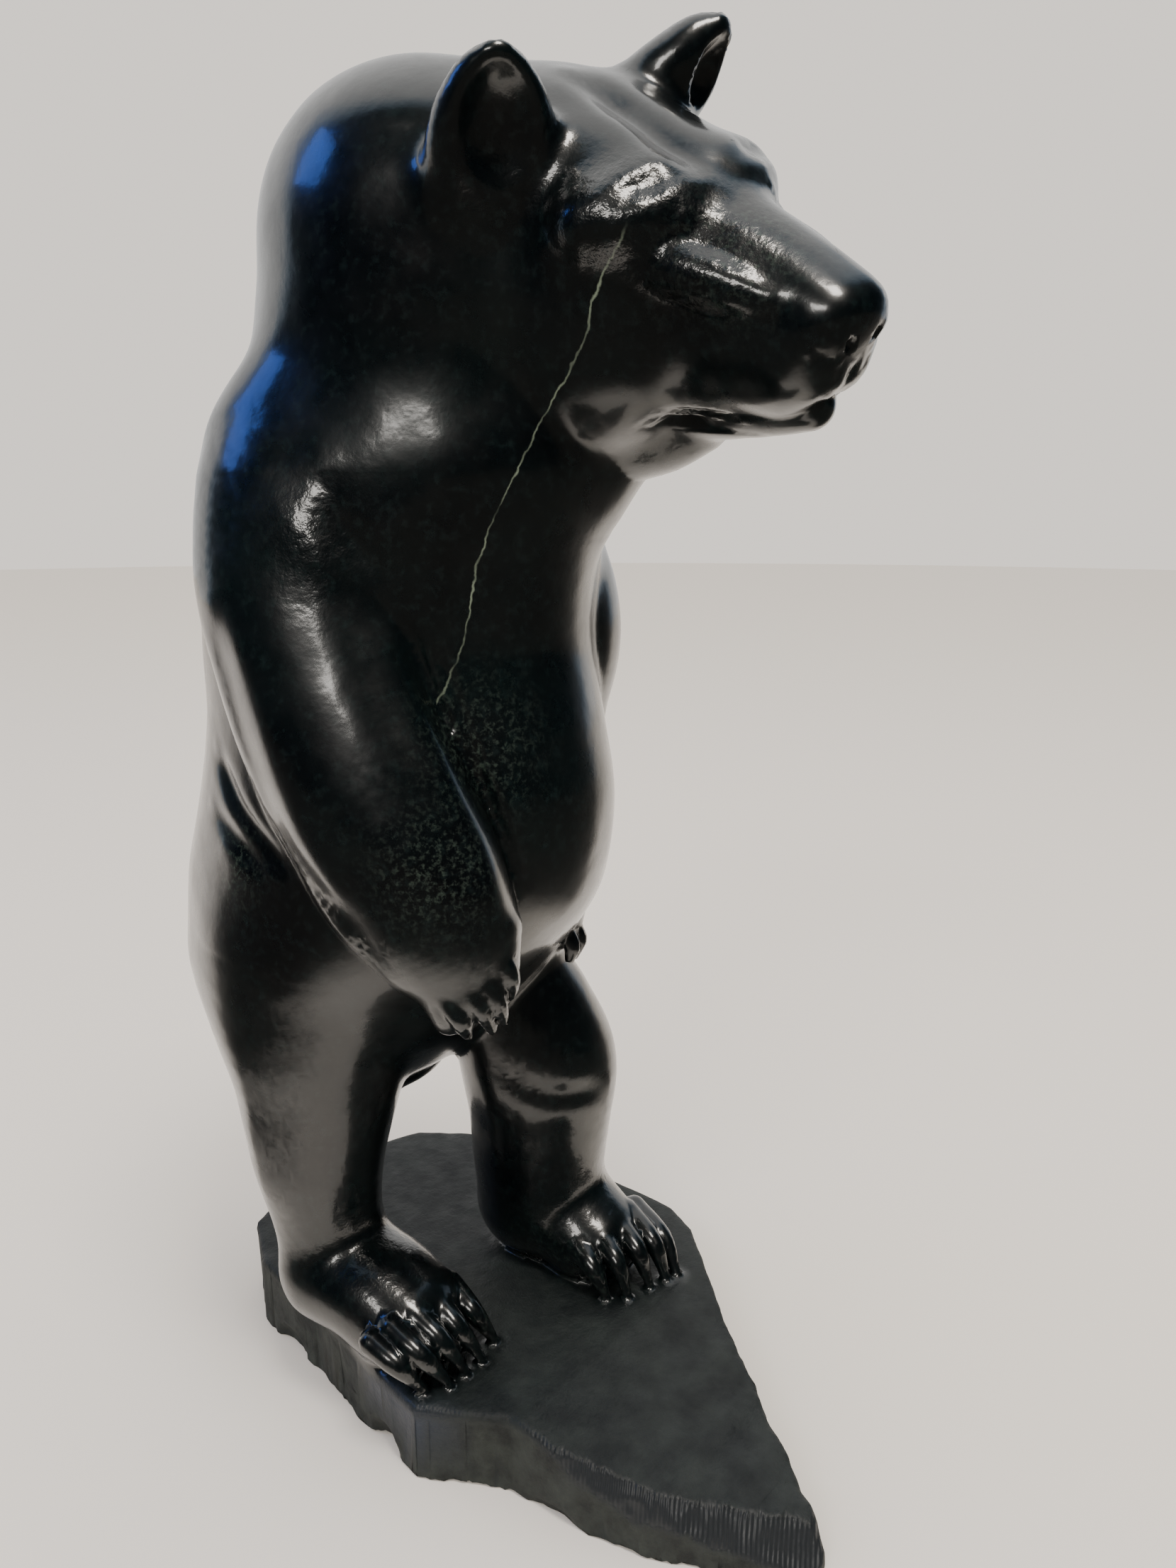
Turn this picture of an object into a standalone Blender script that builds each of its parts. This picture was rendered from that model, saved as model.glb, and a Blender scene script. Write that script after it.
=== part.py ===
"""A bear standing upright on a slab of rock, both carved from one block of dark jade.

The bear faces -Y with its left side at +X, and the slab rests on the plane z = 0.
The stone is worked out as one smooth solid: each muscle, limb and chip is a rounded
form that is blended into the block or cut out of it, and the surface of the result
becomes the mesh. The bear's own forms are in hundredths of its height, measured from
the slab's top between the feet; the slab's forms are shares of its own sizes.
"""
import math

import bpy
import numpy as np

# Sizes in metres
BEAR_HEIGHT = 0.282
SLAB_LENGTH = 0.168
SLAB_WIDTH = 0.096
SLAB_THICKNESS = 0.0185
SLAB_TIP_THICKNESS = 0.0095

# The mesh: the grid it is worked out on, in metres, and how many triangles are kept
CELL = 0.0015
MOST_TRIANGLES = 9600

JADE_COLOUR = (0.012, 0.022, 0.018, 1.0)
JADE_ROUGHNESS = 0.22

# A hundredth of the bear's height, and the slab's width, length and thickness in those hundredths
UNIT = BEAR_HEIGHT / 100
SLAB = np.array([SLAB_WIDTH, SLAB_LENGTH, SLAB_THICKNESS]) / UNIT

# In hundredths: no form is farther than FAR, and one farther than BEYOND changes nothing.
# A groove is cut only within half of SCORE_REACH of its path, in the direction it faces.
FAR = 1000.0
BEYOND = 12.0
SCORE_REACH = 5.0


# Forms: each gives the distance to its surface and the ball that holds it


def turned(degrees):
    """Axes of a form turned about X, then Y, then Z."""
    ax, ay, az = np.radians(degrees)
    about_x = np.array([[1, 0, 0], [0, math.cos(ax), -math.sin(ax)], [0, math.sin(ax), math.cos(ax)]])
    about_y = np.array([[math.cos(ay), 0, math.sin(ay)], [0, 1, 0], [-math.sin(ay), 0, math.cos(ay)]])
    about_z = np.array([[math.cos(az), -math.sin(az), 0], [math.sin(az), math.cos(az), 0], [0, 0, 1]])
    return about_z @ about_y @ about_x


def ellipsoid(centre, radii, turn=(0, 0, 0)):
    """A ball stretched to three radii along its own turned axes."""
    centre = np.asarray(centre, float)
    radii = np.asarray(radii, float)
    axes = turned(turn)

    def distance(p):
        q = (p - centre) @ axes
        outer = np.linalg.norm(q / radii, axis=1)
        slope = np.linalg.norm(q / radii**2, axis=1)
        return outer * (outer - 1) / np.maximum(slope, 1e-9)

    return distance, centre, radii.max()


def smooth_path(points, steps):
    """Points along a smooth curve through the rows given, whose columns may hold radii too."""
    rows = np.asarray(points, float)
    rows = np.vstack([2 * rows[0] - rows[1], rows, 2 * rows[-1] - rows[-2]])
    out = []
    for i in range(1, len(rows) - 2):
        a, b, c, d = rows[i - 1 : i + 3]
        for t in np.arange(steps) / steps:
            out.append(
                0.5 * (2 * b + (c - a) * t + (2 * a - 5 * b + 4 * c - d) * t**2
                       + (3 * b - a - 3 * c + d) * t**3)
            )
    out.append(rows[-2])
    return np.array(out)


def limb(points, steps=6, flat=None):
    """A round limb along (x, y, z, radius) rows; flat gives a direction and how much thinner it is."""
    rows = smooth_path(points, steps)
    middle = rows[:, :3].mean(axis=0)
    reach = (np.linalg.norm(rows[:, :3] - middle, axis=1) + rows[:, 3]).max()
    if flat:
        way = np.asarray(flat[0], float)
        way /= np.linalg.norm(way)
        more = 1 / flat[1] - 1

    def spread(p):
        """Space stretched along the thin direction, so that a round limb there is a flat one here."""
        return p + np.outer((p - middle) @ way, way) * more if flat else p

    def distance(p):
        q = spread(p)
        nodes = spread(rows[:, :3])
        best = np.full(len(p), FAR)
        for a, b, ra, rb in zip(nodes[:-1], nodes[1:], rows[:-1, 3], rows[1:, 3]):
            along = b - a
            t = np.clip((q - a) @ along / (along @ along), 0, 1)
            away = np.linalg.norm(q - a - t[:, None] * along, axis=1) - (ra + (rb - ra) * t)
            best = np.minimum(best, away)
        return best * (flat[1] if flat else 1)

    return distance, middle, reach


def smooth_min(a, b, blend):
    """The nearer of two distances, rounded over where they are within blend of each other."""
    near = np.maximum(blend - np.abs(a - b), 0) / blend
    return np.minimum(a, b) - near**3 * blend / 6


class Stone:
    """The distance from each of a set of points to the surface of the stone, as it is worked."""

    def __init__(self, points):
        self.points = points
        self.away = np.full(len(points), FAR)

    def near(self, form, blend):
        """The points that a form can still change, and how far they are from it."""
        distance, centre, reach = form
        close = np.linalg.norm(self.points - centre, axis=1) < reach + blend + BEYOND
        return close, distance(self.points[close])

    def add(self, form, blend):
        close, away = self.near(form, blend)
        self.away[close] = smooth_min(self.away[close], away, blend)

    def cut(self, form, blend):
        close, away = self.near(form, blend)
        self.away[close] = -smooth_min(-self.away[close], away, blend)

    def join(self, other, blend):
        """Another worked stone blended into this one, by a blend that may differ from point to point."""
        self.away = smooth_min(self.away, other.away, blend)

    def score(self, width, depth, way, points):
        """A groove cut along a path as seen along a direction, or with a negative depth a ridge raised."""
        rows = smooth_path(points, 5)
        way = np.asarray(way, float)
        way /= np.linalg.norm(way)
        middle = rows.mean(axis=0)
        size = np.linalg.norm(rows - middle, axis=1).max() + 3 * width + SCORE_REACH
        close = np.linalg.norm(self.points - middle, axis=1) < size
        q = self.points[close]
        off = np.full(len(q), FAR)
        for a, b in zip(rows[:-1], rows[1:]):
            along = b - a
            t = np.clip((q - a) @ along / (along @ along), 0, 1)
            apart = q - a - t[:, None] * along
            through = apart @ way
            sideways = (apart**2).sum(axis=1) - through**2
            deeper = np.maximum(np.abs(through) - SCORE_REACH / 2, 0)
            off = np.minimum(off, sideways + deeper**2)
        self.away[close] += depth * np.exp(-off / width**2)


# The head, in its own frame: sideways to the bear's left, forwards to its nose, and up

HEAD = np.array([4.0, -14.0, 84.0])
HEAD_PITCH, HEAD_ROLL = math.radians(24), math.radians(22)
FORWARD = np.array([0, -math.cos(HEAD_PITCH), -math.sin(HEAD_PITCH)])
LEVEL_UP = np.array([0, -math.sin(HEAD_PITCH), math.cos(HEAD_PITCH)])
LEFT = np.array([math.cos(HEAD_ROLL), 0, 0]) + LEVEL_UP * math.sin(HEAD_ROLL)
UP = LEVEL_UP * math.cos(HEAD_ROLL) - np.array([math.sin(HEAD_ROLL), 0, 0])
HEAD_AXES = np.array([LEFT, -FORWARD, UP]).T


def on_head(a, b, c):
    """A place on the head: a to its left, b forwards and c up."""
    return HEAD + a * LEFT + b * FORWARD + c * UP


def head_ball(place, radii, turn=(0, 0, 0)):
    """An ellipsoid with radii across, along and up the head."""
    distance, centre, reach = ellipsoid((0, 0, 0), radii, turn)
    middle = on_head(*place)
    return (lambda p: distance((p - middle) @ HEAD_AXES)), middle, reach


def head_limb(points, **more):
    return limb([(*on_head(a, b, c), r) for a, b, c, r in points], **more)


# Distance along the muzzle, its top, its floor and its half width
MUZZLE = [
    (0, 7.4, -12.0, 8.4), (6, 7.0, -11.6, 7.8), (10, 6.3, -10.2, 6.5), (13, 5.7, -8.2, 5.2),
    (17, 4.9, -6.2, 4.4), (20.5, 4.1, -4.9, 4.0), (23.2, 2.9, -3.4, 3.3),
]
# How square its section is, where 2 is round
SQUARE = 2.3


def muzzle():
    """The squared wedge from the brows to the nose."""
    stations = smooth_path(MUZZLE, 6)

    def distance(p):
        q = (p - HEAD) @ HEAD_AXES
        end = 20.6 + 0.28 * np.clip(q[:, 2], -5, 3)
        along = smooth_min(np.maximum(-q[:, 1], 0), end, 3.0)
        top, floor, half = (np.interp(along, stations[:, 0], stations[:, k]) for k in (1, 2, 3))
        past = -q[:, 1] - along
        sizes = np.stack([half, (top - floor) / 2, np.where(past > 0, 2.6, 4.0)], axis=1)
        shares = np.abs(np.stack([q[:, 0], q[:, 2] - (top + floor) / 2, past], axis=1)) / sizes
        outer = (shares**SQUARE).sum(axis=1) ** (1 / SQUARE)
        slope = np.sqrt(((shares ** (SQUARE - 1) / sizes) ** 2).sum(axis=1))
        return (outer - 1) * outer ** (SQUARE - 1) / np.maximum(slope, 1e-6)

    return distance, on_head(0, 12, -2), 17.0


# Lines cut into both sides of the head: width, depth, the way they face, and their path from the nose
HEAD_LINES = [
    (0.6, 0.6, (-0.7, 0.1, -0.6), [
        (-0.3, 22.6, -4.0), (-1.0, 22.0, -4.8), (-1.2, 21.3, -5.4), (-1.5, 19.8, -6.2), (-2.0, 18.0, -6.7),
        (-2.4, 16.2, -7.1), (-2.8, 14.4, -7.4), (-3.3, 12.9, -7.4), (-4.2, 12.0, -6.8),
    ]),
    (0.5, 0.4, (-0.6, 0.8, 0.0), [
        (-3.2, 21.6, 0.4), (-2.7, 22.1, 0.2), (-2.1, 22.6, 0.0), (-1.5, 22.9, -0.3),
    ]),
    (0.5, 0.2, (-0.2, 1.0, 0.0), [(0.0, 23.4, -0.4), (0.0, 23.2, -1.4), (0.0, 22.8, -2.6)]),
    (0.6, 0.2, (-0.4, 0.6, 0.5), [
        (-6.3, 9.8, 5.0), (-5.2, 10.5, 5.6), (-4.0, 10.9, 5.9), (-2.8, 11.3, 5.9),
    ]),
]
CHEEKBONE = [
    (4.9, 11.2, 2.1, 1.0), (4.5, 13.4, 2.2, 1.1), (3.9, 16.2, 2.2, 1.0), (3.3, 18.4, 2.2, 0.8),
]


def work_head(stone):
    stone.add(head_ball((0.4, -2, -1.0), (9.6, 11.5, 9.9)), 5)
    stone.add(muzzle(), 3.5)
    stone.add(head_ball((0.3, 4.5, 2.6), (8.0, 8.3, 5.3)), 3)
    for side in (-1, 1):
        stone.add(head_ball((side * 4.8, 4.0, -4.4), (4.9 - 0.5 * side, 8.5, 6.7 - 0.3 * side)), 4)
        brow = [(side * 6.6, 7.2, 3.7, 1.7), (side * 5.2, 8.8, 4.3, 2.2), (side * 3.4, 9.6, 4.6, 2.3)]
        stone.add(head_limb(brow), 3.2)
        stone.cut(head_ball((side * 5.2, 13.7, 5.8), (3.4, 4.0, 2.0), (0, side * 46, 0)), 0.9)
        stone.add(head_limb([(side * a, b, c, r) for a, b, c, r in CHEEKBONE]), 1.4)
        stone.add(head_ball((side * 3.7, 11.5, 4.3), (0.8, 0.8, 0.6)), 0.4)
        stone.add(head_ball((side * 1.2, 20.3, -1.8), (2.0, 2.4, 1.7)), 1.6)
        for width, depth, way, path in HEAD_LINES:
            flip = (-side, 1, 1)
            facing = on_head(*np.multiply(way, flip)) - HEAD
            stone.score(width, depth, facing, [on_head(*np.multiply(spot, flip)) for spot in path])
        ear(stone, side)
    throat = [(7.4, -21.4, 71.6, 2.4), (7.0, -18.6, 71.4, 3.4), (6.2, -14.8, 71.0, 4.2),
    (5.2, -11.0, 68.4, 5.4)]
    stone.add(limb(throat), 2.0)
    stone.add(head_limb([(0, 13, -6.2, 3.2), (0, 17.4, -5.0, 2.5), (0, 20.6, -4.4, 1.6)]), 0.6)
    stone.score(1.3, 0.8, UP, [on_head(a, b, 7) for a, b in ((0.2, -2), (-0.3, 4), (-0.8, 8), (-0.8, 12))])


# Each ear's root, tip and the way its hollow faces; its radii along the way up; and its hollow's distance
# in front and radii along the way up
EARS = {
    -1: (
        ((-8.0, -0.2, 3.6), (-8.9, 1.9, 11.9), (-0.5, 0.85, 0.15)),
        ((-0.1, 3.8), (0.3, 4.0), (0.62, 3.2), (0.92, 1.3)),
        ((0.26, 3.5, 1.9), (0.46, 2.4, 2.3), (0.66, 2.0, 2.3), (0.86, 1.8, 1.2)),
    ),
    1: (
        ((6.8, -1.0, 5.8), (10.3, 2.2, 10.8), (0.3, 0.9, 0.2)),
        ((-0.1, 3.6), (0.3, 3.2), (0.62, 2.6), (0.92, 1.2)),
        ((0.3, 2.4, 1.2), (0.5, 2.1, 1.3), (0.8, 1.8, 0.8)),
    ),
}


def ear(stone, side):
    (root, tip, front), leaf, hollow = EARS[side]
    root, rise, front = np.array(root), np.subtract(tip, root), np.array(front)
    facing = on_head(*front) - HEAD
    leaf = [(*on_head(*(root + rise * share)), r) for share, r in leaf]
    stone.add(limb(leaf, flat=(facing, 0.55)), 2.0)
    hollow = [(*on_head(*(root + rise * share + front * out)), r) for share, out, r in hollow]
    stone.cut(limb(hollow, flat=(facing, 0.75)), 0.7)


# The trunk, arms and legs, in the bear's own hundredths

# Height, half width, belly and back of the trunk and neck
TRUNK = [
    (18.6, 6.0, 1.0, 9.0), (21, 11.0, -2.0, 14.0), (25, 14.2, -6.0, 17.2), (30, 15.8, -10.0, 19.8),
    (34, 16.0, -13.4, 20.3), (38, 15.8, -15.6, 20.2), (44, 15.2, -16.6, 18.5), (50, 14.5, -15.7, 17.2),
    (56, 14.3, -14.5, 17.0), (62, 14.0, -15.2, 17.0), (68, 12.9, -17.0, 15.4), (74, 11.3, -16.2, 10.9),
    (80, 11.2, -17.0, 10.0), (85, 10.4, -17.0, 8.2), (88, 9.0, -16.0, 6.0),
]


def trunk():
    rows = smooth_path(TRUNK, 5)

    def distance(p):
        z = np.clip(p[:, 2], TRUNK[0][0], TRUNK[-1][0])
        half, belly, back = (np.interp(z, rows[:, 0], rows[:, k]) for k in (1, 2, 3))
        deep = (back - belly) / 2
        off = np.stack([p[:, 0], p[:, 1] - (belly + back) / 2, (p[:, 2] - z)], axis=1)
        size = np.stack([half, deep, np.where(p[:, 2] > z, 4.5, 2.0)], axis=1)
        outer = np.linalg.norm(off / size, axis=1)
        slope = np.linalg.norm(off / size**2, axis=1)
        return outer * (outer - 1) / np.maximum(slope, 1e-9)

    return distance, np.array([0, 0, 58.0]), 46.0


ARMS = {
    -1: [
        (-8.2, 1.3, 69, 6.6), (-10.2, -0.6, 61.5, 7.5), (-10.8, -4.2, 53, 7.6), (-10.5, -8.4, 45.5, 7.5),
        (-9.7, -11.8, 39.8, 6.4), (-8.6, -13.7, 35.4, 4.2),
    ],
    1: [
        (7.8, 1.5, 69, 7.4), (9.8, -2.5, 62, 7.7), (10.7, -4.1, 56.5, 7.9), (10.8, -4.1, 51, 6.6),
        (10.4, -4.0, 45, 5.8), (9.8, -5.6, 38.5, 4.9), (9.4, -7.2, 33.6, 2.6),
    ],
}


# Each paw's palm, and the root, knuckle and tip of each of its claws
PALMS = {
    -1: ((-8.6, -13.9, 33.2), (2.6, 1.9, 3.4), (25, 0, 35)),
    1: ((8.8, -7.4, 31.4), (1.8, 1.6, 2.2), (20, 0, -30)),
}
PAW_CLAWS = {
    -1: [
        ((-10.9, -14.6, 33.8), (-10.3, -15.4, 32.0), (-9.2, -14.9, 30.3)),
        ((-10.1, -15.6, 34.8), (-9.3, -16.4, 32.8), (-8.0, -16.1, 30.6)),
        ((-9.4, -16.2, 35.6), (-8.5, -17.0, 33.4), (-7.4, -16.7, 31.2)),
        ((-8.4, -16.8, 36.8), (-7.6, -17.5, 35.0), (-6.9, -17.0, 33.0)),
    ],
    1: [
        ((9.2, -8.2, 31.8), (9.8, -8.8, 30.4), (9.7, -8.4, 28.8)),
        ((8.0, -8.6, 31.8), (8.2, -9.4, 30.4), (8.1, -9.2, 29.0)),
    ],
}


def arm(points, side):
    out = Stone(points)
    out.add(limb(ARMS[side], flat=((side * 0.82, -0.57, 0), 0.8)), 1)
    centre, radii, turn = PALMS[side]
    out.add(ellipsoid(centre, radii, turn), 1.5)
    for root, knuckle, tip in PAW_CLAWS[side]:
        out.add(limb([(*root, 0.75), (*knuckle, 0.7), (*tip, 0.35)]), 0.35)
    return out


LEGS = {
    -1: [
        (-7.2, 3.0, 33, 9.0), (-7.7, 3.7, 27, 8.2), (-8.0, 3.7, 21.5, 6.8), (-8.5, 3.7, 15, 5.5),
        (-8.4, 3.4, 10, 4.6), (-8.2, 2.8, 6, 4.3),
    ],
    1: [
        (6.8, -1.0, 32, 6.2), (7.4, -2.0, 26.3, 6.0), (8.6, -3.5, 22, 6.4), (9.5, -4.3, 18, 6.9),
        (9.6, -4.4, 14, 6.4), (9.6, -4.2, 9.5, 6.0), (9.8, -4.0, 5, 5.6),
    ],
}
FEET = {
    -1: [(-8.3, 2.0, 3.9, 4.9), (-7.8, -1.8, 3.7, 4.9), (-7.4, -4.8, 2.6, 4.8)],
    1: [(10.2, -3.4, 3.8, 5.0), (10.3, -7.2, 3.6, 4.8), (10.4, -9.6, 2.5, 4.6)],
}


def leg(points, side):
    out = Stone(points)
    out.add(limb(LEGS[side]), 1)
    out.add(limb(FEET[side], flat=((0, 0, 1), 0.85)), 2)
    return out


# The knuckle, bend and tip of each foot claw
CLAWS = {
    -1: [
        ((-12.2, -6.6, 3.4), (-11.9, -9.2, 2.5), (-10.6, -10.6, 0.3)),
        ((-10.7, -7.2, 4.0), (-10.4, -10.2, 2.9), (-8.9, -11.6, 0.3)),
        ((-8.8, -7.2, 4.5), (-8.5, -10.4, 3.1), (-7.2, -11.6, 0.3)),
        ((-6.6, -7.2, 4.5), (-6.6, -10.3, 3.1), (-5.4, -11.6, 0.3)),
        ((-4.0, -6.6, 3.8), (-4.2, -9.6, 2.7), (-3.2, -10.8, 0.3)),
    ],
    1: [
        ((7.0, -11.0, 3.4), (6.5, -13.2, 2.5), (6.7, -14.4, 0.3)),
        ((8.9, -11.6, 4.1), (8.1, -14.4, 2.9), (8.0, -15.7, 0.3)),
        ((11.0, -12.0, 4.3), (10.2, -15.0, 3.1), (10.3, -16.3, 0.3)),
        ((12.9, -11.8, 4.2), (12.2, -15.2, 3.0), (12.0, -16.8, 0.3)),
        ((14.4, -11.4, 3.7), (13.8, -15.0, 2.6), (13.3, -17.0, 0.3)),
    ],
}


def work_claws(stone, side):
    for knuckle, bend, tip in CLAWS[side]:
        stone.add(limb([(*knuckle, 1.05), (*bend, 0.85), (*tip, 0.35)]), 0.4)


# Folds of the body: width, depth (a ridge where it is negative), the way they face, and their path
NEAR = (-0.75, -0.6, 0.2)
FOLDS = [
    (0.7, 0.6, NEAR, [
        (-10.0, -10.5, 59.3), (-9.3, -11.2, 56.0), (-9.0, -12.3, 53.3), (-8.9, -14.0, 50.2),
        (-8.5, -15.1, 47.8), (-7.9, -16.1, 45.5), (-7.5, -16.8, 43.6), (-7.2, -17.4, 41.4),
        (-7.1, -17.7, 39.5), (-7.6, -17.9, 38.1),
    ]),
    (0.5, 0.3, NEAR, [
        (-8.5, -11.5, 57.4), (-7.7, -12.2, 54.8), (-7.3, -13.1, 52.2), (-7.0, -13.9, 49.8),
        (-6.8, -14.7, 47.5), (-6.5, -15.6, 45.3),
    ]),
    (1.2, 0.55, NEAR, [
        (-17.0, 1.0, 59.6), (-17.3, -0.6, 55.9), (-17.4, -2.6, 51.4), (-17.2, -4.3, 47.3),
        (-16.8, -5.8, 44.1), (-16.2, -8.5, 41.0), (-15.4, -11.0, 39.0), (-14.3, -11.6, 36.3),
        (-12.8, -11.9, 34.1),
    ]),
    (0.9, 0.45, (-1, 0, 0), [(-13.8, 6.1, 48.8), (-15.0, 2.5, 45.3), (-15.2, -1.3, 42.6),
    (-14.8, -4.2, 40.2)]),
    (0.9, 0.35, (-1, 0, 0), [(-14.3, 6.5, 44.5), (-15.4, 1.0, 42.0), (-15.2, -2.3, 40.5)]),
    (1.4, -0.7, NEAR, [
        (-13.4, -3.9, 69.1), (-13.9, -4.8, 66.5), (-13.6, -6.3, 63.8), (-12.6, -8.1, 61.1),
        (-11.5, -9.7, 58.2),
    ]),
    (1.2, 0.6, NEAR, [(-13.2, -6.0, 66.5), (-12.4, -7.7, 64.5), (-11.4, -9.1, 62.2), (-10.3, -10.2, 59.7)]),
    (1.4, -0.6, NEAR, [(-12.5, -7.2, 66.5), (-11.0, -9.5, 64.2), (-8.8, -11.7, 62.5), (-7.0, -13.0, 61.7)]),
    (1.6, 0.5, NEAR, [(-9.4, -10.9, 60.6), (-7.2, -12.5, 59.7), (-5.1, -13.7, 59.6)]),
    (1.8, -0.3, NEAR, [
        (-9.7, -10.5, 71.2), (-8.2, -12.7, 70.8), (-5.6, -15.1, 70.3), (-2.1, -16.9, 70.0),
        (1.0, -18.4, 69.9),
    ]),
    (1.9, 0.4, NEAR, [(-8.8, -11.2, 74.0), (-8.0, -12.6, 72.6), (-6.6, -14.0, 72.0), (-4.4, -15.6, 71.8)]),
    (1.1, 0.3, (0, -1, 0), [
        (3.2, -6.9, 22.1), (3.7, -8.0, 19.7), (5.3, -9.8, 18.1), (8.3, -11.1, 17.6), (11.2, -11.1, 17.1),
    ]),
]


# The slab of rock

# Its outline in shares of its width and length, from the back, down the bear's right side and round the tip
FOOTING = [
    (-0.17, 0.305), (-0.26, 0.215), (-0.285, 0.12), (-0.28, 0.07), (-0.305, 0.02), (-0.325, -0.05),
    (-0.345, -0.13), (-0.355, -0.185), (-0.30, -0.24), (-0.245, -0.29), (-0.235, -0.38), (-0.20, -0.475),
    (-0.12, -0.56), (-0.02, -0.66), (0.03, -0.652), (0.19, -0.522), (0.35, -0.392), (0.435, -0.332),
    (0.585, -0.235), (0.632, -0.18), (0.636, -0.1), (0.62, 0.1), (0.55, 0.24), (0.45, 0.315),
    (0.25, 0.35), (0.02, 0.35),
]


def inside_outline(plan, outline):
    """Signed distance to a closed outline."""
    away = np.full(len(plan), FAR)
    inside = np.zeros(len(plan), bool)
    for a, b in zip(outline, np.roll(outline, -1, axis=0)):
        along = b - a
        t = np.clip((plan - a) @ along / (along @ along), 0, 1)
        away = np.minimum(away, np.linalg.norm(plan - a - t[:, None] * along, axis=1))
        rise = along[1] if along[1] else 1e-9
        crosses = (a[1] > plan[:, 1]) != (b[1] > plan[:, 1])
        inside ^= crosses & (plan[:, 0] < a[0] + (plan[:, 1] - a[1]) / rise * along[0])
    return np.where(inside, -away, away)


# Flat cuts along the slab's edges: a place on each in shares of the slab's sizes, and the way it faces
CUTS = [
    ((-0.256, -0.311, 0.0), (-0.80, -0.35, 0.487)), ((-0.004, -0.608, -0.442), (-0.62, -0.53, 0.573)),
    ((0.012, -0.638, -0.518), (0.25, -0.80, 0.55)),
]

# Where the slab starts to fall towards its tip and how far it falls for, in shares of its length
FALL_START, FALL_RUN = -0.302, 0.336


def slab():
    outline = np.array(FOOTING) * SLAB[:2]
    drop = (SLAB_THICKNESS - SLAB_TIP_THICKNESS) / UNIT

    def distance(p):
        away = -inside_outline(p[:, :2], outline)
        fall = np.clip((FALL_START - p[:, 1] / SLAB[1]) / FALL_RUN, 0, 1) * drop
        away = smooth_min(away, -(p[:, 2] + fall), 1.0)
        for place, way in CUTS:
            away = smooth_min(away, (place * SLAB - p) @ np.array(way), 0.3)
        return np.maximum(-away, -SLAB[2] - p[:, 2])

    middle = (outline.min(axis=0) + outline.max(axis=0)) / 2
    return distance, np.array([*middle, -SLAB[2] / 2]), np.linalg.norm(SLAB) / 2


# Chips broken from the slab's edge: centre and radii, in shares of the slab's sizes
CHIPS = [
    ((-0.335, 0.144, -0.945), (0.076, 0.060, 0.366)), ((-0.376, -0.017, -0.854), (0.062, 0.057, 0.305)),
    ((-0.379, -0.107, -0.945), (0.056, 0.044, 0.366)), ((-0.273, -0.366, -1.006), (0.050, 0.060, 0.244)),
    ((0.664, 0.034, -0.457), (0.071, 0.084, 0.457)), ((0.411, 0.359, -0.701), (0.147, 0.034, 0.396)),
]


def work_stone(points):
    stone = Stone(points)
    stone.add(trunk(), 1)
    crown = ellipsoid((-0.8, -3.4, 84.0), (10.4, 12.0, 11.0))
    stone.add(crown, 2)
    work_head(stone)
    for side in (-1, 1):
        stone.join(leg(points, side), np.interp(points[:, 1], (-8, 0), (0.9, 2.5)))
    for side in (-1, 1):
        stone.join(arm(points, side), np.interp(points[:, 2], (50, 60, 68), (0.6, 1.2, 6.0)))
        work_claws(stone, side)
    for fold in FOLDS:
        stone.score(*fold)
    stone.add(slab(), 0.9)
    for centre, radii in CHIPS:
        stone.cut(ellipsoid(centre * SLAB, radii * SLAB), 0.2)
    return np.maximum(stone.away, -SLAB[2] - points[:, 2])


# The mesh of the stone's surface

# A box that holds the bear with room to spare
BEAR_ROOM = np.array([(-20.0, -30.0, 0.0), (22.0, 22.0, 102.0)])

# The ways to walk from a cube's first corner to its last, and whether each turns the same way round
WALKS = (
    ((0, 1, 2), True), ((1, 2, 0), True), ((2, 0, 1), True),
    ((0, 2, 1), False), ((2, 1, 0), False), ((1, 0, 2), False),
)
# The one corner, or the two, of a tetrahedron that lie inside the stone, followed by the others
CORNERS = ((0, 1, 2, 3), (1, 0, 3, 2), (2, 3, 0, 1), (3, 2, 1, 0))
PAIRS = ((0, 1, 2, 3), (0, 2, 3, 1), (0, 3, 1, 2), (1, 2, 0, 3), (1, 3, 2, 0), (2, 3, 0, 1))


def field(low, high, cell, block=8):
    """Distances on a grid, worked out finely only in the blocks of cells near the surface."""
    shape = (np.ceil((high - low) / (cell * block)).astype(int)) * block
    coarse = np.stack(np.meshgrid(*(np.arange(n // block) for n in shape), indexing="ij"), axis=-1)
    middles = low + (coarse.reshape(-1, 3) + 0.5) * block * cell
    away = work_stone(middles)
    values = np.repeat(np.repeat(np.repeat(away.reshape(coarse.shape[:3]), block, 0), block, 1), block, 2)
    values = np.pad(values, ((0, 1),) * 3, mode="edge")
    close = np.abs(away) < block * cell * 1.3
    steps = np.stack(np.meshgrid(*(np.arange(block + 1),) * 3, indexing="ij"), axis=-1).reshape(-1, 3)
    index = (coarse.reshape(-1, 3)[close][:, None] * block + steps).reshape(-1, 3)
    flat = np.unique(np.ravel_multi_index(index.T, values.shape))
    index = np.stack(np.unravel_index(flat, values.shape), axis=-1)
    values.reshape(-1)[flat] = work_stone(low + index * cell)
    return values


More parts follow.
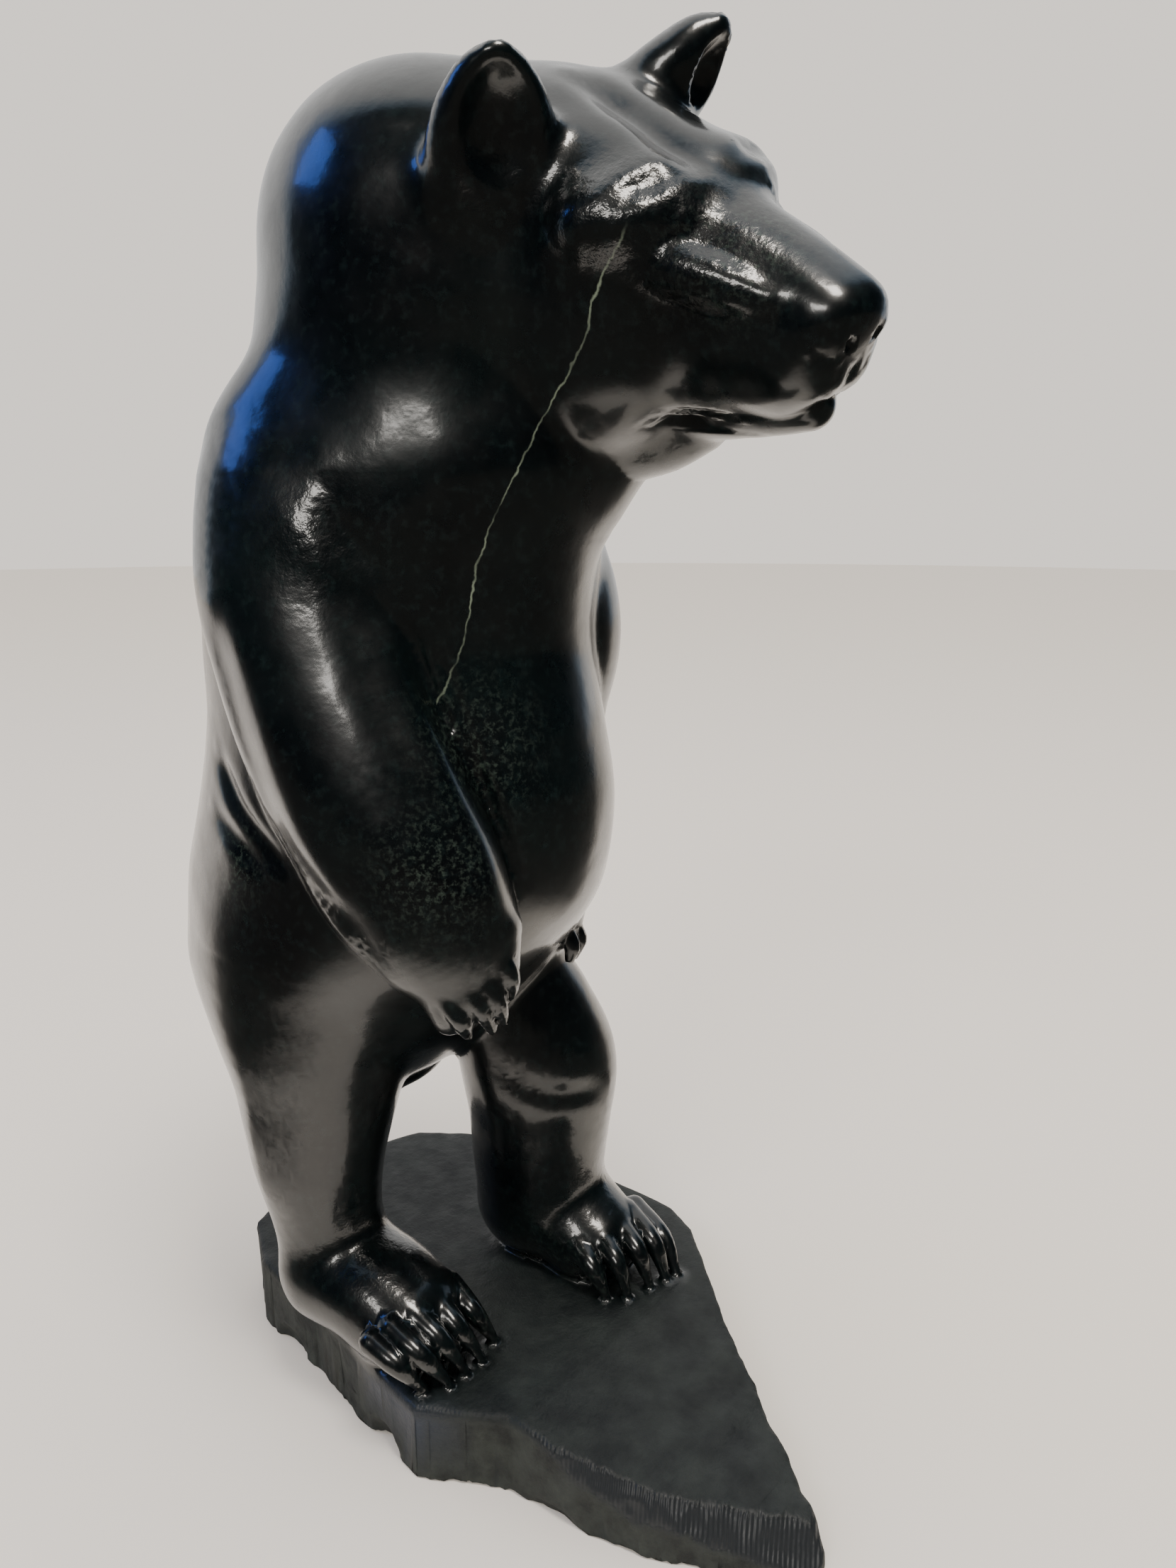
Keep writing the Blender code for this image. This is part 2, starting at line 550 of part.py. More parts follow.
def skin(values, low, cell):
    """The surface where the distance is zero, from six tetrahedra in each cube of the grid."""
    inside = values < 0
    some = np.zeros(tuple(n - 1 for n in values.shape), int)
    for corner in np.ndindex(2, 2, 2):
        some += inside[tuple(slice(c, c + n) for c, n in zip(corner, some.shape))]
    cubes = np.ravel_multi_index(np.nonzero((some > 0) & (some < 8)), values.shape)
    flat, ins = values.reshape(-1), inside.reshape(-1)
    stride = (values.shape[1] * values.shape[2], values.shape[2], 1)
    edges = []
    for order, even in WALKS:
        ends = np.cumsum([0] + [stride[k] for k in order])
        tets = cubes[:, None] + (ends if even else ends[[0, 2, 1, 3]])
        signs = ins[tets]
        code = signs @ (1, 2, 4, 8)
        for i, j, k, l in CORNERS:
            for match, flip in ((1 << i, False), (15 - (1 << i), True)):
                t = tets[code == match]
                face = np.stack([t[:, [i, j]], t[:, [i, k]], t[:, [i, l]]], axis=1)
                edges.append(face[:, ::-1] if flip else face)
        for i, j, k, l in PAIRS:
            t = tets[code == (1 << i) + (1 << j)]
            quad = np.stack([t[:, [i, k]], t[:, [i, l]], t[:, [j, l]], t[:, [j, k]]], axis=1)
            edges += [quad[:, [0, 1, 2]], quad[:, [0, 2, 3]]]
    edges = np.sort(np.concatenate(edges), axis=2)
    keys = edges[..., 0] * np.int64(flat.size) + edges[..., 1]
    keys, faces = np.unique(keys, return_inverse=True)
    a, b = keys // flat.size, keys % flat.size
    share = np.clip(flat[a] / (flat[a] - flat[b]), 0.06, 0.94)[:, None]
    a, b = (np.stack(np.unravel_index(end, values.shape), axis=-1) for end in (a, b))
    return low + cell * (a * (1 - share) + b * share), faces.reshape(-1, 3)


def settled(points, rounds=2, step=0.02):
    """Points moved onto the surface itself along its slope."""
    for _ in range(rounds):
        away = work_stone(points)
        slope = np.stack([work_stone(points + step * axis) - away for axis in np.eye(3)], axis=1) / step
        points = points - slope * (away / np.maximum((slope**2).sum(axis=1), 0.1))[:, None]
    return points


def jade():
    """Dark polished nephrite."""
    material = bpy.data.materials.new("dark_jade")
    material.use_nodes = True
    shader = material.node_tree.nodes["Principled BSDF"]
    shader.inputs["Base Color"].default_value = JADE_COLOUR
    shader.inputs["Roughness"].default_value = JADE_ROUGHNESS
    shader.inputs["Metallic"].default_value = 0.0
    return material


def build():
    cell = CELL / UNIT
    outline = np.array(FOOTING) * SLAB[:2]
    low = np.array([*np.minimum(outline.min(axis=0), BEAR_ROOM[0][:2]), -SLAB[2]]) - 4 * cell
    high = np.maximum(BEAR_ROOM[1], (*outline.max(axis=0), 0)) + 4 * cell
    points, faces = skin(field(low, high, cell), low, cell)
    points = settled(points)
    middle = (points.min(axis=0) + points.max(axis=0)) / 2
    points -= (middle[0], middle[1], points[:, 2].min())
    mesh = bpy.data.meshes.new("bear_carving")
    mesh.from_pydata((points * UNIT).tolist(), [], faces.tolist())
    mesh.update()
    mesh.shade_smooth()
    mesh.materials.append(jade())
    piece = bpy.data.objects.new("bear_carving", mesh)
    bpy.context.collection.objects.link(piece)
    fewer = piece.modifiers.new("fewer triangles", "DECIMATE")
    fewer.ratio = MOST_TRIANGLES / len(faces)
    return piece


for thing in list(bpy.data.objects):
    bpy.data.objects.remove(thing)
build()
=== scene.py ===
"""A bear standing upright on a slab of rock, carved from one block of dark jade: how it looks.

The bear faces -Y with its left side at +X. The stone is worked out as one smooth solid from
rounded forms that are blended into it or cut out of it, first the bear and then the slab, and
its surface becomes one mesh. Forms are in hundredths of the bear's height, measured from the
slab's top between the feet; the mesh is in metres.
"""
import math

import bpy
import numpy as np
from mathutils import Matrix, Vector


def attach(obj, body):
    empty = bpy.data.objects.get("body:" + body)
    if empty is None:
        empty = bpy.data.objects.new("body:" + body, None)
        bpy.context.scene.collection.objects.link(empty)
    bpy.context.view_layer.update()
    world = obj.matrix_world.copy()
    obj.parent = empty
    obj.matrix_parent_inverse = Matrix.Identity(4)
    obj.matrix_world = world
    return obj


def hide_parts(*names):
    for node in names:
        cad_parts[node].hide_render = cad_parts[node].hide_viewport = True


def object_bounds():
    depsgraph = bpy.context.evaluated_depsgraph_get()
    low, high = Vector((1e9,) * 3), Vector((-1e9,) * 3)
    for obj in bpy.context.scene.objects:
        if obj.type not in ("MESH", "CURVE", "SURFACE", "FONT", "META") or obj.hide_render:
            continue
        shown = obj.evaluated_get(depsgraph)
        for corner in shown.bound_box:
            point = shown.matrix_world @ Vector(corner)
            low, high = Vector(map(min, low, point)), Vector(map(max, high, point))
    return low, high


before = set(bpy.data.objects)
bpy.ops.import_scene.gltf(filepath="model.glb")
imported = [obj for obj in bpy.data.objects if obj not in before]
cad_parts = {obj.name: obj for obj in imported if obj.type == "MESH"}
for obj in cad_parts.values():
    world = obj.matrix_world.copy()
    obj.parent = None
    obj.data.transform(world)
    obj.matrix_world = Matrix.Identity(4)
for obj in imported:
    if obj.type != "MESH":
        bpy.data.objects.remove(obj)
solid_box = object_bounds()


# The block of jade. The whole carving is one piece of nephrite, sawn to a block, roughed out and ground:
# each form below is a mass that the carver left standing, a hollow taken out of it, or a line cut in.

# From the slab's top to the crown, and the hundredth of it that the forms are measured in
BEAR_HEIGHT = 0.282
UNIT = BEAR_HEIGHT / 100


# The trunk: belly, back, shoulders, hump and neck, the largest mass of the block. It was ground as a run
# of ovals from the hips to the crown, with a dome on top, and polished to a deep gloss.


def smooth_path(points, steps):
    """Points along a smooth curve through the rows given, whose columns may hold radii too."""
    rows = np.asarray(points, float)
    rows = np.vstack([2 * rows[0] - rows[1], rows, 2 * rows[-1] - rows[-2]])
    out = []
    for i in range(1, len(rows) - 2):
        a, b, c, d = rows[i - 1 : i + 3]
        for t in np.arange(steps) / steps:
            out.append(
                0.5 * (2 * b + (c - a) * t + (2 * a - 5 * b + 4 * c - d) * t**2
                       + (3 * b - a - 3 * c + d) * t**3)
            )
    out.append(rows[-2])
    return np.array(out)


# Height, half width, belly and back of the trunk and neck
TRUNK = [
    (18.6, 6.0, 1.0, 9.0), (21, 11.0, -2.0, 14.0), (25, 14.2, -6.0, 17.2), (30, 15.8, -10.0, 19.8),
    (34, 16.0, -13.4, 20.3), (38, 15.8, -15.6, 20.2), (44, 15.2, -16.6, 18.5), (50, 14.5, -15.7, 17.2),
    (56, 14.3, -14.5, 17.0), (62, 14.0, -15.2, 17.0), (68, 12.9, -17.0, 15.4), (74, 11.3, -16.2, 10.9),
    (80, 11.2, -17.0, 10.0), (85, 10.4, -17.0, 8.2), (88, 9.0, -16.0, 6.0),
]
CURVE_STEPS = 24
TOP_ROUNDING, BOTTOM_ROUNDING = 4.5, 2.0
TRUNK_MIDDLE, TRUNK_REACH = (0, 0, 58.0), 46.0
# The dome on top: its centre and radii
CROWN = (-0.8, -3.4, 84.0), (10.4, 12.0, 11.0)


def trunk():
    """The run of ovals, with a rounded end below and above."""
    rows = smooth_path(TRUNK, CURVE_STEPS)

    def distance(p):
        z = np.clip(p[:, 2], TRUNK[0][0], TRUNK[-1][0])
        half, belly, back = (np.interp(z, rows[:, 0], rows[:, k]) for k in (1, 2, 3))
        deep = (back - belly) / 2
        off = np.stack([p[:, 0], p[:, 1] - (belly + back) / 2, (p[:, 2] - z)], axis=1)
        size = np.stack([half, deep, np.where(p[:, 2] > z, TOP_ROUNDING, BOTTOM_ROUNDING)], axis=1)
        outer = np.linalg.norm(off / size, axis=1)
        slope = np.linalg.norm(off / size**2, axis=1)
        return outer * (outer - 1) / np.maximum(slope, 1e-9)

    return distance, np.array(TRUNK_MIDDLE), TRUNK_REACH


# The head. It is turned a little down and tilted to the bear's left, with a long squared muzzle, low
# brows and small eyes. Eyes, nostrils and mouth are cut in with a fine point after the polishing.

# Its own frame: sideways to the bear's left, forwards to its nose, and up
HEAD = np.array([4.0, -14.0, 84.0])
HEAD_PITCH, HEAD_ROLL = math.radians(24), math.radians(22)
FORWARD = np.array([0, -math.cos(HEAD_PITCH), -math.sin(HEAD_PITCH)])
LEVEL_UP = np.array([0, -math.sin(HEAD_PITCH), math.cos(HEAD_PITCH)])
LEFT = np.array([math.cos(HEAD_ROLL), 0, 0]) + LEVEL_UP * math.sin(HEAD_ROLL)
UP = LEVEL_UP * math.cos(HEAD_ROLL) - np.array([math.sin(HEAD_ROLL), 0, 0])
HEAD_AXES = np.array([LEFT, -FORWARD, UP]).T


def on_head(a, b, c):
    """A place on the head: a to its left, b forwards and c up."""
    return HEAD + a * LEFT + b * FORWARD + c * UP


def turned(degrees):
    """Axes of a form turned about X, then Y, then Z."""
    ax, ay, az = np.radians(degrees)
    about_x = np.array([[1, 0, 0], [0, math.cos(ax), -math.sin(ax)], [0, math.sin(ax), math.cos(ax)]])
    about_y = np.array([[math.cos(ay), 0, math.sin(ay)], [0, 1, 0], [-math.sin(ay), 0, math.cos(ay)]])
    about_z = np.array([[math.cos(az), -math.sin(az), 0], [math.sin(az), math.cos(az), 0], [0, 0, 1]])
    return about_z @ about_y @ about_x


def ellipsoid(centre, radii, turn=(0, 0, 0)):
    """A ball stretched to three radii along its own turned axes."""
    centre = np.asarray(centre, float)
    radii = np.asarray(radii, float)
    axes = turned(turn)

    def distance(p):
        q = (p - centre) @ axes
        outer = np.linalg.norm(q / radii, axis=1)
        slope = np.linalg.norm(q / radii**2, axis=1)
        return outer * (outer - 1) / np.maximum(slope, 1e-9)

    return distance, centre, radii.max()


def head_ball(place, radii, turn=(0, 0, 0)):
    """An ellipsoid with radii across, along and up the head."""
    distance, centre, reach = ellipsoid((0, 0, 0), radii, turn)
    middle = on_head(*place)
    return (lambda p: distance((p - middle) @ HEAD_AXES)), middle, reach


# Farther than anything in the stone
FAR = 1000.0


def limb(points, steps=12, flat=None):
    """A round limb along (x, y, z, radius) rows; flat gives a direction and how much thinner it is."""
    rows = smooth_path(points, steps)
    middle = rows[:, :3].mean(axis=0)
    reach = (np.linalg.norm(rows[:, :3] - middle, axis=1) + rows[:, 3]).max()
    if flat:
        way = np.asarray(flat[0], float)
        way /= np.linalg.norm(way)
        more = 1 / flat[1] - 1

    def spread(p):
        """Space stretched along the thin direction, so that a round limb there is a flat one here."""
        return p + np.outer((p - middle) @ way, way) * more if flat else p

    def distance(p):
        q = spread(p)
        nodes = spread(rows[:, :3])
        best = np.full(len(p), FAR)
        for a, b, ra, rb in zip(nodes[:-1], nodes[1:], rows[:-1, 3], rows[1:, 3]):
            along = b - a
            t = np.clip((q - a) @ along / (along @ along), 0, 1)
            away = np.linalg.norm(q - a - t[:, None] * along, axis=1) - (ra + (rb - ra) * t)
            best = np.minimum(best, away)
        return best * (flat[1] if flat else 1)

    return distance, middle, reach


def head_limb(points):
    return limb([(*on_head(a, b, c), r) for a, b, c, r in points])


# Distance along the muzzle, its top, its floor and its half width
MUZZLE = [
    (0, 7.4, -12.0, 8.4), (6, 7.0, -11.6, 7.8), (10, 6.3, -10.2, 6.5), (13, 5.7, -8.2, 5.2),
    (17, 4.9, -6.2, 4.4), (20.5, 4.1, -4.9, 4.0), (23.2, 2.9, -3.4, 3.3),
]
# How square its section is, where 2 is round; how far the nose is out, how much its top overhangs, and how
# softly the sides run into it; and how deep the rounding is at the nose and inside the skull
SQUARE = 2.3
NOSE_OUT, OVERHANG, NOSE_BLEND = 20.6, 0.28, 3.0
NOSE_ROUNDING, REAR_ROUNDING = 2.6, 4.0
MUZZLE_MIDDLE, MUZZLE_REACH = (0, 12, -2), 17.0


def smooth_min(a, b, blend):
    """The nearer of two distances, rounded over where they are within blend of each other."""
    near = np.maximum(blend - np.abs(a - b), 0) / blend
    return np.minimum(a, b) - near**3 * blend / 6


def muzzle():
    """The squared wedge from the brows to the nose."""
    stations = smooth_path(MUZZLE, CURVE_STEPS)

    def distance(p):
        q = (p - HEAD) @ HEAD_AXES
        end = NOSE_OUT + OVERHANG * np.clip(q[:, 2], -5, 3)
        along = smooth_min(np.maximum(-q[:, 1], 0), end, NOSE_BLEND)
        top, floor, half = (np.interp(along, stations[:, 0], stations[:, k]) for k in (1, 2, 3))
        past = -q[:, 1] - along
        rounding = np.where(past > 0, NOSE_ROUNDING, REAR_ROUNDING)
        sizes = np.stack([half, (top - floor) / 2, rounding], axis=1)
        shares = np.abs(np.stack([q[:, 0], q[:, 2] - (top + floor) / 2, past], axis=1)) / sizes
        outer = (shares**SQUARE).sum(axis=1) ** (1 / SQUARE)
        slope = np.sqrt(((shares ** (SQUARE - 1) / sizes) ** 2).sum(axis=1))
        return (outer - 1) * outer ** (SQUARE - 1) / np.maximum(slope, 1e-6)

    return distance, on_head(*MUZZLE_MIDDLE), MUZZLE_REACH


# How far past its reach a form is still worked out, how deep a line reaches, and how soon its ends run out
BEYOND = 6.0
SCORE_REACH = 5.0
RUN_OUT = 2.2
SCORE_STEPS = 5


class Stone:
    """The distance from each of a set of points to the surface of the stone, as it is worked."""

    def __init__(self, points):
        self.points = points
        self.away = np.full(len(points), FAR)

    def near(self, form, blend):
        """The points that a form can still change, and how far they are from it."""
        distance, centre, reach = form
        close = np.linalg.norm(self.points - centre, axis=1) < reach + blend + BEYOND
        return close, distance(self.points[close])

    def add(self, form, blend):
        close, away = self.near(form, blend)
        self.away[close] = smooth_min(self.away[close], away, blend)

    def cut(self, form, blend):
        close, away = self.near(form, blend)
        self.away[close] = -smooth_min(-self.away[close], away, blend)

    def join(self, other, blend):
        """Another worked stone blended into this one, by a blend that may differ from point to point."""
        self.away = smooth_min(self.away, other.away, blend)

    def score(self, width, depth, way, points):
        """A groove cut along a path as seen along a direction, or with a negative depth a ridge raised."""
        rows = smooth_path(points, SCORE_STEPS)
        way = np.asarray(way, float)
        way /= np.linalg.norm(way)
        middle = rows.mean(axis=0)
        size = np.linalg.norm(rows - middle, axis=1).max() + 3 * width + SCORE_REACH
        close = np.linalg.norm(self.points - middle, axis=1) < size
        q = self.points[close]
        off = np.full(len(q), FAR)
        for a, b in zip(rows[:-1], rows[1:]):
            along = b - a
            t = np.clip((q - a) @ along / (along @ along), 0, 1)
            apart = q - a - t[:, None] * along
            through = apart @ way
            sideways = (apart**2).sum(axis=1) - through**2
            deeper = np.maximum(np.abs(through) - SCORE_REACH / 2, 0)
            off = np.minimum(off, sideways + deeper**2)
        groove = depth * np.exp(-off / width**2)
        for end in rows[[0, -1]]:
            apart = q - end
            groove *= 1 - np.exp(((apart @ way) ** 2 - (apart**2).sum(axis=1)) / (RUN_OUT * width) ** 2)
        self.away[close] += groove


# Lines cut into both sides of the head: width, depth, the way they face, and their path from the nose
HEAD_LINES = [
    (0.45, 0.8, (-0.7, 0.1, -0.6), [
        (-0.3, 22.6, -4.0), (-1.0, 22.0, -4.8), (-1.2, 21.3, -5.4), (-1.5, 19.8, -6.2), (-2.0, 18.0, -6.7),
        (-2.4, 16.2, -7.1), (-2.8, 14.4, -7.4), (-3.3, 12.9, -7.4), (-4.2, 12.0, -6.8),
    ]),
    (0.35, 0.3, (-0.75, 0.1, -0.5), [
        (-2.4, 17.6, -5.8), (-2.9, 15.6, -6.2), (-3.3, 13.8, -6.3), (-4.0, 12.5, -6.0),
    ]),
    (0.4, 0.35, (-0.6, 0.8, 0.0), [
        (-3.2, 21.6, 0.4), (-2.7, 22.1, 0.2), (-2.1, 22.6, 0.0), (-1.5, 22.9, -0.3),
    ]),
    (0.35, -0.2, (-0.5, 0.8, 0.0), [(-2.1, 22.8, 1.9), (-2.0, 23.0, 1.0), (-1.5, 23.1, 0.3)]),
    (0.35, 0.12, (-0.5, 0.8, 0.0), [(-1.5, 22.9, -0.3), (-1.3, 22.8, -1.2), (-0.9, 22.6, -2.2)]),
    (0.4, 0.15, (-0.2, 1.0, 0.0), [(0.0, 23.4, -0.4), (0.0, 23.2, -1.4), (0.0, 22.8, -2.6)]),
    (0.9, 0.55, (-0.5, 0.6, 0.6), [
        (-7.2, 9.8, 4.2), (-6.8, 9.6, 5.2), (-5.8, 9.6, 6.0), (-4.7, 9.9, 6.3), (-3.8, 10.2, 6.6),
        (-2.8, 10.9, 6.6), (-1.9, 11.5, 6.3),
    ]),
]


# The skull and forehead: place on the head and radii; the throat in the figure's own places, and the jaw's
# underside and lower lip on the head: places and radii along them
SKULL = (0.4, -2, -1.0), (9.6, 11.5, 9.9)
FOREHEAD = (0.3, 4.5, 2.6), (8.0, 8.3, 5.3)
THROAT = [
    (7.4, -21.4, 71.6, 2.4), (7.0, -18.6, 71.4, 3.4), (6.2, -14.8, 71.0, 4.2), (5.2, -11.0, 68.4, 5.4),
]
JAW = [(0, 10.5, -5.4, 3.2), (0, 13, -6.2, 3.2), (0, 16.4, -5.3, 2.6)]
LOWER_LIP = [(0, 14.8, -5.8, 2.7), (0, 17.4, -5.0, 2.5), (0, 20.6, -4.4, 1.6)]

# The forms of the left side, which the right side mirrors, and how much fuller the right jowl is
JOWL = (4.8, 4.0, -4.4), (4.9, 8.5, 6.7)
FULLER = np.array((0.5, 0, 0.3))
BROW = [(6.8, 7.4, 3.8, 1.7), (5.3, 8.8, 4.3, 2.2), (3.4, 9.5, 4.6, 2.3)]
CHEEKBONE = [(4.9, 11.2, 2.2, 1.2), (4.4, 13.4, 2.4, 1.4), (3.8, 16.2, 2.3, 1.2), (3.3, 18.4, 2.2, 0.8)]
EYE = (3.9, 11.6, 4.8), (0.9, 0.9, 0.6)
EYE_TILT = 46
UPPER_LIP = (1.2, 20.3, -1.8), (2.0, 2.4, 1.7)
NOSTRIL = (1.25, 23.6, 0.75), (0.45, 0.7, 0.6)

# The shallow parting down the forehead: its width and depth, its height, and its path across and along
PARTING = (1.3, 0.8), 7, [(0.2, -2), (-0.3, 4), (-0.8, 8), (-0.8, 12)]


def side_ball(form, side, more=0, tilt=0):
    """A ball of the face on one side, its radii made larger and its top tilted outwards."""
    (a, b, c), radii = form
    return head_ball((side * a, b, c), np.add(radii, more), (0, side * tilt, 0))


def side_limb(rows, side):
    return head_limb([(side * a, b, c, r) for a, b, c, r in rows])


def work_head(stone):
    """The head, its face and its ears, added to the trunk."""
    stone.add(head_ball(*SKULL), 5)
    stone.add(muzzle(), 3.5)
    stone.add(head_ball(*FOREHEAD), 3)
    stone.add(limb(THROAT), 3.5)
    stone.add(head_limb(JAW), 1.4)
    for side in (-1, 1):
        stone.add(side_ball(JOWL, side, -side * FULLER), 4)
        stone.add(side_limb(BROW, side), 3.2)
        stone.add(side_limb(CHEEKBONE, side), 1.4)
        stone.add(side_ball(EYE, side, tilt=EYE_TILT), 0.6)
        stone.add(side_ball(UPPER_LIP, side), 1.6)
        stone.cut(side_ball(NOSTRIL, side), 0.25)
        for width, depth, way, path in HEAD_LINES:
            flip = (-side, 1, 1)
            facing = on_head(*np.multiply(way, flip)) - HEAD
            stone.score(width, depth, facing, [on_head(*np.multiply(spot, flip)) for spot in path])
        ear(stone, side)
    stone.add(head_limb(LOWER_LIP), 0.6)
    cut, height, path = PARTING
    stone.score(*cut, UP, [on_head(a, b, height) for a, b in path])


# Each ear's root, tip and the way its hollow faces; its radii along the way up; and its hollow's distance
# in front and radii along the way up
EARS = {
    -1: (
        ((-8.0, -0.2, 3.6), (-8.9, 1.9, 11.9), (-0.5, 0.85, 0.15)),
        ((-0.1, 3.8), (0.3, 4.0), (0.62, 3.2), (0.92, 1.3)),
        ((0.26, 3.8, 2.4), (0.46, 2.8, 2.8), (0.66, 2.3, 2.6), (0.86, 1.9, 1.4)),
    ),
    1: (
        ((6.8, -1.0, 5.8), (10.3, 2.2, 10.8), (0.3, 0.9, 0.2)),
        ((-0.1, 3.6), (0.3, 3.2), (0.62, 2.6), (0.92, 1.2)),
        ((0.3, 2.4, 1.2), (0.5, 2.1, 1.3), (0.8, 1.8, 0.8)),
    ),
}
EAR_STEPS = 14
LEAF_FLATNESS, HOLLOW_FLATNESS = 0.55, 0.75


def ear(stone, side):
    """A flat leaf with a hollow in its front."""
    (root, tip, front), leaf, hollow = EARS[side]
    root, rise, front = np.array(root), np.subtract(tip, root), np.array(front)
    facing = on_head(*front) - HEAD
    leaf = [(*on_head(*(root + rise * share)), r) for share, r in leaf]
    stone.add(limb(leaf, EAR_STEPS, (facing, LEAF_FLATNESS)), 2.0)
    hollow = [(*on_head(*(root + rise * share + front * out)), r) for share, out, r in hollow]
    stone.cut(limb(hollow, EAR_STEPS, (facing, HOLLOW_FLATNESS)), 0.7)


# The arms hang at the sides, bent a little, and end in paws whose claws lie against the belly. The
# carver left each one joined to the body, and marked it off with a fold cut along its front and back.

ARMS = {
    -1: [
        (-8.2, 1.3, 69, 6.6), (-10.2, -0.6, 61.5, 7.5), (-10.8, -4.2, 53, 7.6), (-10.5, -8.4, 45.5, 7.5),
        (-9.7, -11.8, 39.8, 6.4), (-8.6, -13.7, 35.4, 4.2),
    ],
    1: [
        (7.8, 1.5, 69, 7.4), (9.8, -2.5, 62, 7.7), (10.7, -4.1, 56.5, 7.9), (10.8, -4.1, 51, 6.6),
        (10.4, -4.0, 45, 5.8), (9.8, -5.6, 38.5, 4.9), (9.4, -7.2, 33.6, 2.6),
    ],
}
ARM_FLATNESS = 0.8

# Each paw's palm, and the root, knuckle and tip of each of its claws
PALMS = {
    -1: ((-8.6, -13.9, 33.2), (2.6, 1.9, 3.4), (25, 0, 35)),
    1: ((8.8, -7.4, 31.4), (1.8, 1.6, 2.2), (20, 0, -30)),
}
PAW_CLAWS = {
    -1: [
        ((-10.9, -14.6, 33.8), (-10.3, -15.4, 32.0), (-9.2, -14.9, 30.3)),
        ((-10.1, -15.6, 34.8), (-9.3, -16.4, 32.8), (-8.0, -16.1, 30.6)),
        ((-9.4, -16.2, 35.6), (-8.5, -17.0, 33.4), (-7.4, -16.7, 31.2)),
        ((-8.4, -16.8, 36.8), (-7.6, -17.5, 35.0), (-6.9, -17.0, 33.0)),
    ],
    1: [
        ((9.2, -8.2, 31.8), (9.8, -8.8, 30.4), (9.7, -8.4, 28.8)),
        ((8.0, -8.6, 31.8), (8.2, -9.4, 30.4), (8.1, -9.2, 29.0)),
    ],
}
PAW_CLAW_RADII = 0.75, 0.7, 0.35


def arm(points, side):
    """One arm with its paw, as a stone of its own that is blended into the body later."""
    out = Stone(points)
    out.add(limb(ARMS[side], flat=((side * 0.82, -0.57, 0), ARM_FLATNESS)), 1)
    out.add(ellipsoid(*PALMS[side]), 1.5)
    for claw in PAW_CLAWS[side]:
        out.add(limb([(*place, r) for place, r in zip(claw, PAW_CLAW_RADII)]), 0.35)
    return out


# The legs stand apart with an arch of open air between them. Each ends in a broad foot with five
# long claws, cut deeply between and left glossy on their ridges.

LEGS = {
    -1: [
        (-7.2, 3.0, 33, 9.0), (-7.7, 3.7, 27, 8.2), (-8.0, 3.7, 21.5, 6.8), (-8.5, 3.7, 15, 5.5),
        (-8.4, 3.4, 10, 4.6), (-8.2, 2.8, 6, 4.3),
    ],
    1: [
        (6.8, -1.0, 32, 6.2), (7.4, -2.0, 26.3, 6.0), (8.6, -3.5, 22, 6.4), (9.5, -4.3, 18, 6.9),
        (9.6, -4.4, 14, 6.4), (9.6, -4.2, 9.5, 6.0), (9.8, -4.0, 5, 5.6),
    ],
}
FEET = {
    -1: [(-8.3, 2.0, 3.9, 4.9), (-7.8, -1.8, 3.7, 4.9), (-7.4, -4.8, 2.6, 4.8)],
    1: [(10.2, -3.4, 3.8, 5.0), (10.3, -7.2, 3.6, 4.8), (10.4, -9.6, 2.5, 4.6)],
}
FOOT_FLATNESS = 0.85


def leg(points, side):
    """One leg with its foot."""
    out = Stone(points)
    out.add(limb(LEGS[side]), 1)
    out.add(limb(FEET[side], flat=((0, 0, 1), FOOT_FLATNESS)), 2)
    return out


# The knuckle, bend and tip of each foot claw
CLAWS = {
    -1: [
        ((-12.2, -6.6, 3.4), (-11.9, -9.2, 2.5), (-10.6, -10.6, 0.3)),
        ((-10.7, -7.2, 4.0), (-10.4, -10.2, 2.9), (-8.9, -11.6, 0.3)),
        ((-8.8, -7.2, 4.5), (-8.5, -10.4, 3.1), (-7.2, -11.6, 0.3)),
        ((-6.6, -7.2, 4.5), (-6.6, -10.3, 3.1), (-5.4, -11.6, 0.3)),
        ((-4.0, -6.6, 3.8), (-4.2, -9.6, 2.7), (-3.2, -10.8, 0.3)),
    ],
    1: [
        ((7.0, -11.0, 3.4), (6.5, -13.2, 2.5), (6.7, -14.4, 0.3)),
        ((8.9, -11.6, 4.1), (8.1, -14.4, 2.9), (8.0, -15.7, 0.3)),
        ((11.0, -12.0, 4.3), (10.2, -15.0, 3.1), (10.3, -16.3, 0.3)),
        ((12.9, -11.8, 4.2), (12.2, -15.2, 3.0), (12.0, -16.8, 0.3)),
        ((14.4, -11.4, 3.7), (13.8, -15.0, 2.6), (13.3, -17.0, 0.3)),
    ],
}
CLAW_RADII = 1.05, 0.85, 0.35


def work_claws(stone, side):
    for claw in CLAWS[side]:
        stone.add(limb([(*place, r) for place, r in zip(claw, CLAW_RADII)]), 0.4)


# Folds and muscle ridges, ground into the arms, shoulders, flank, ruff and knee with a small wheel after
# the large forms were done, and polished with them.

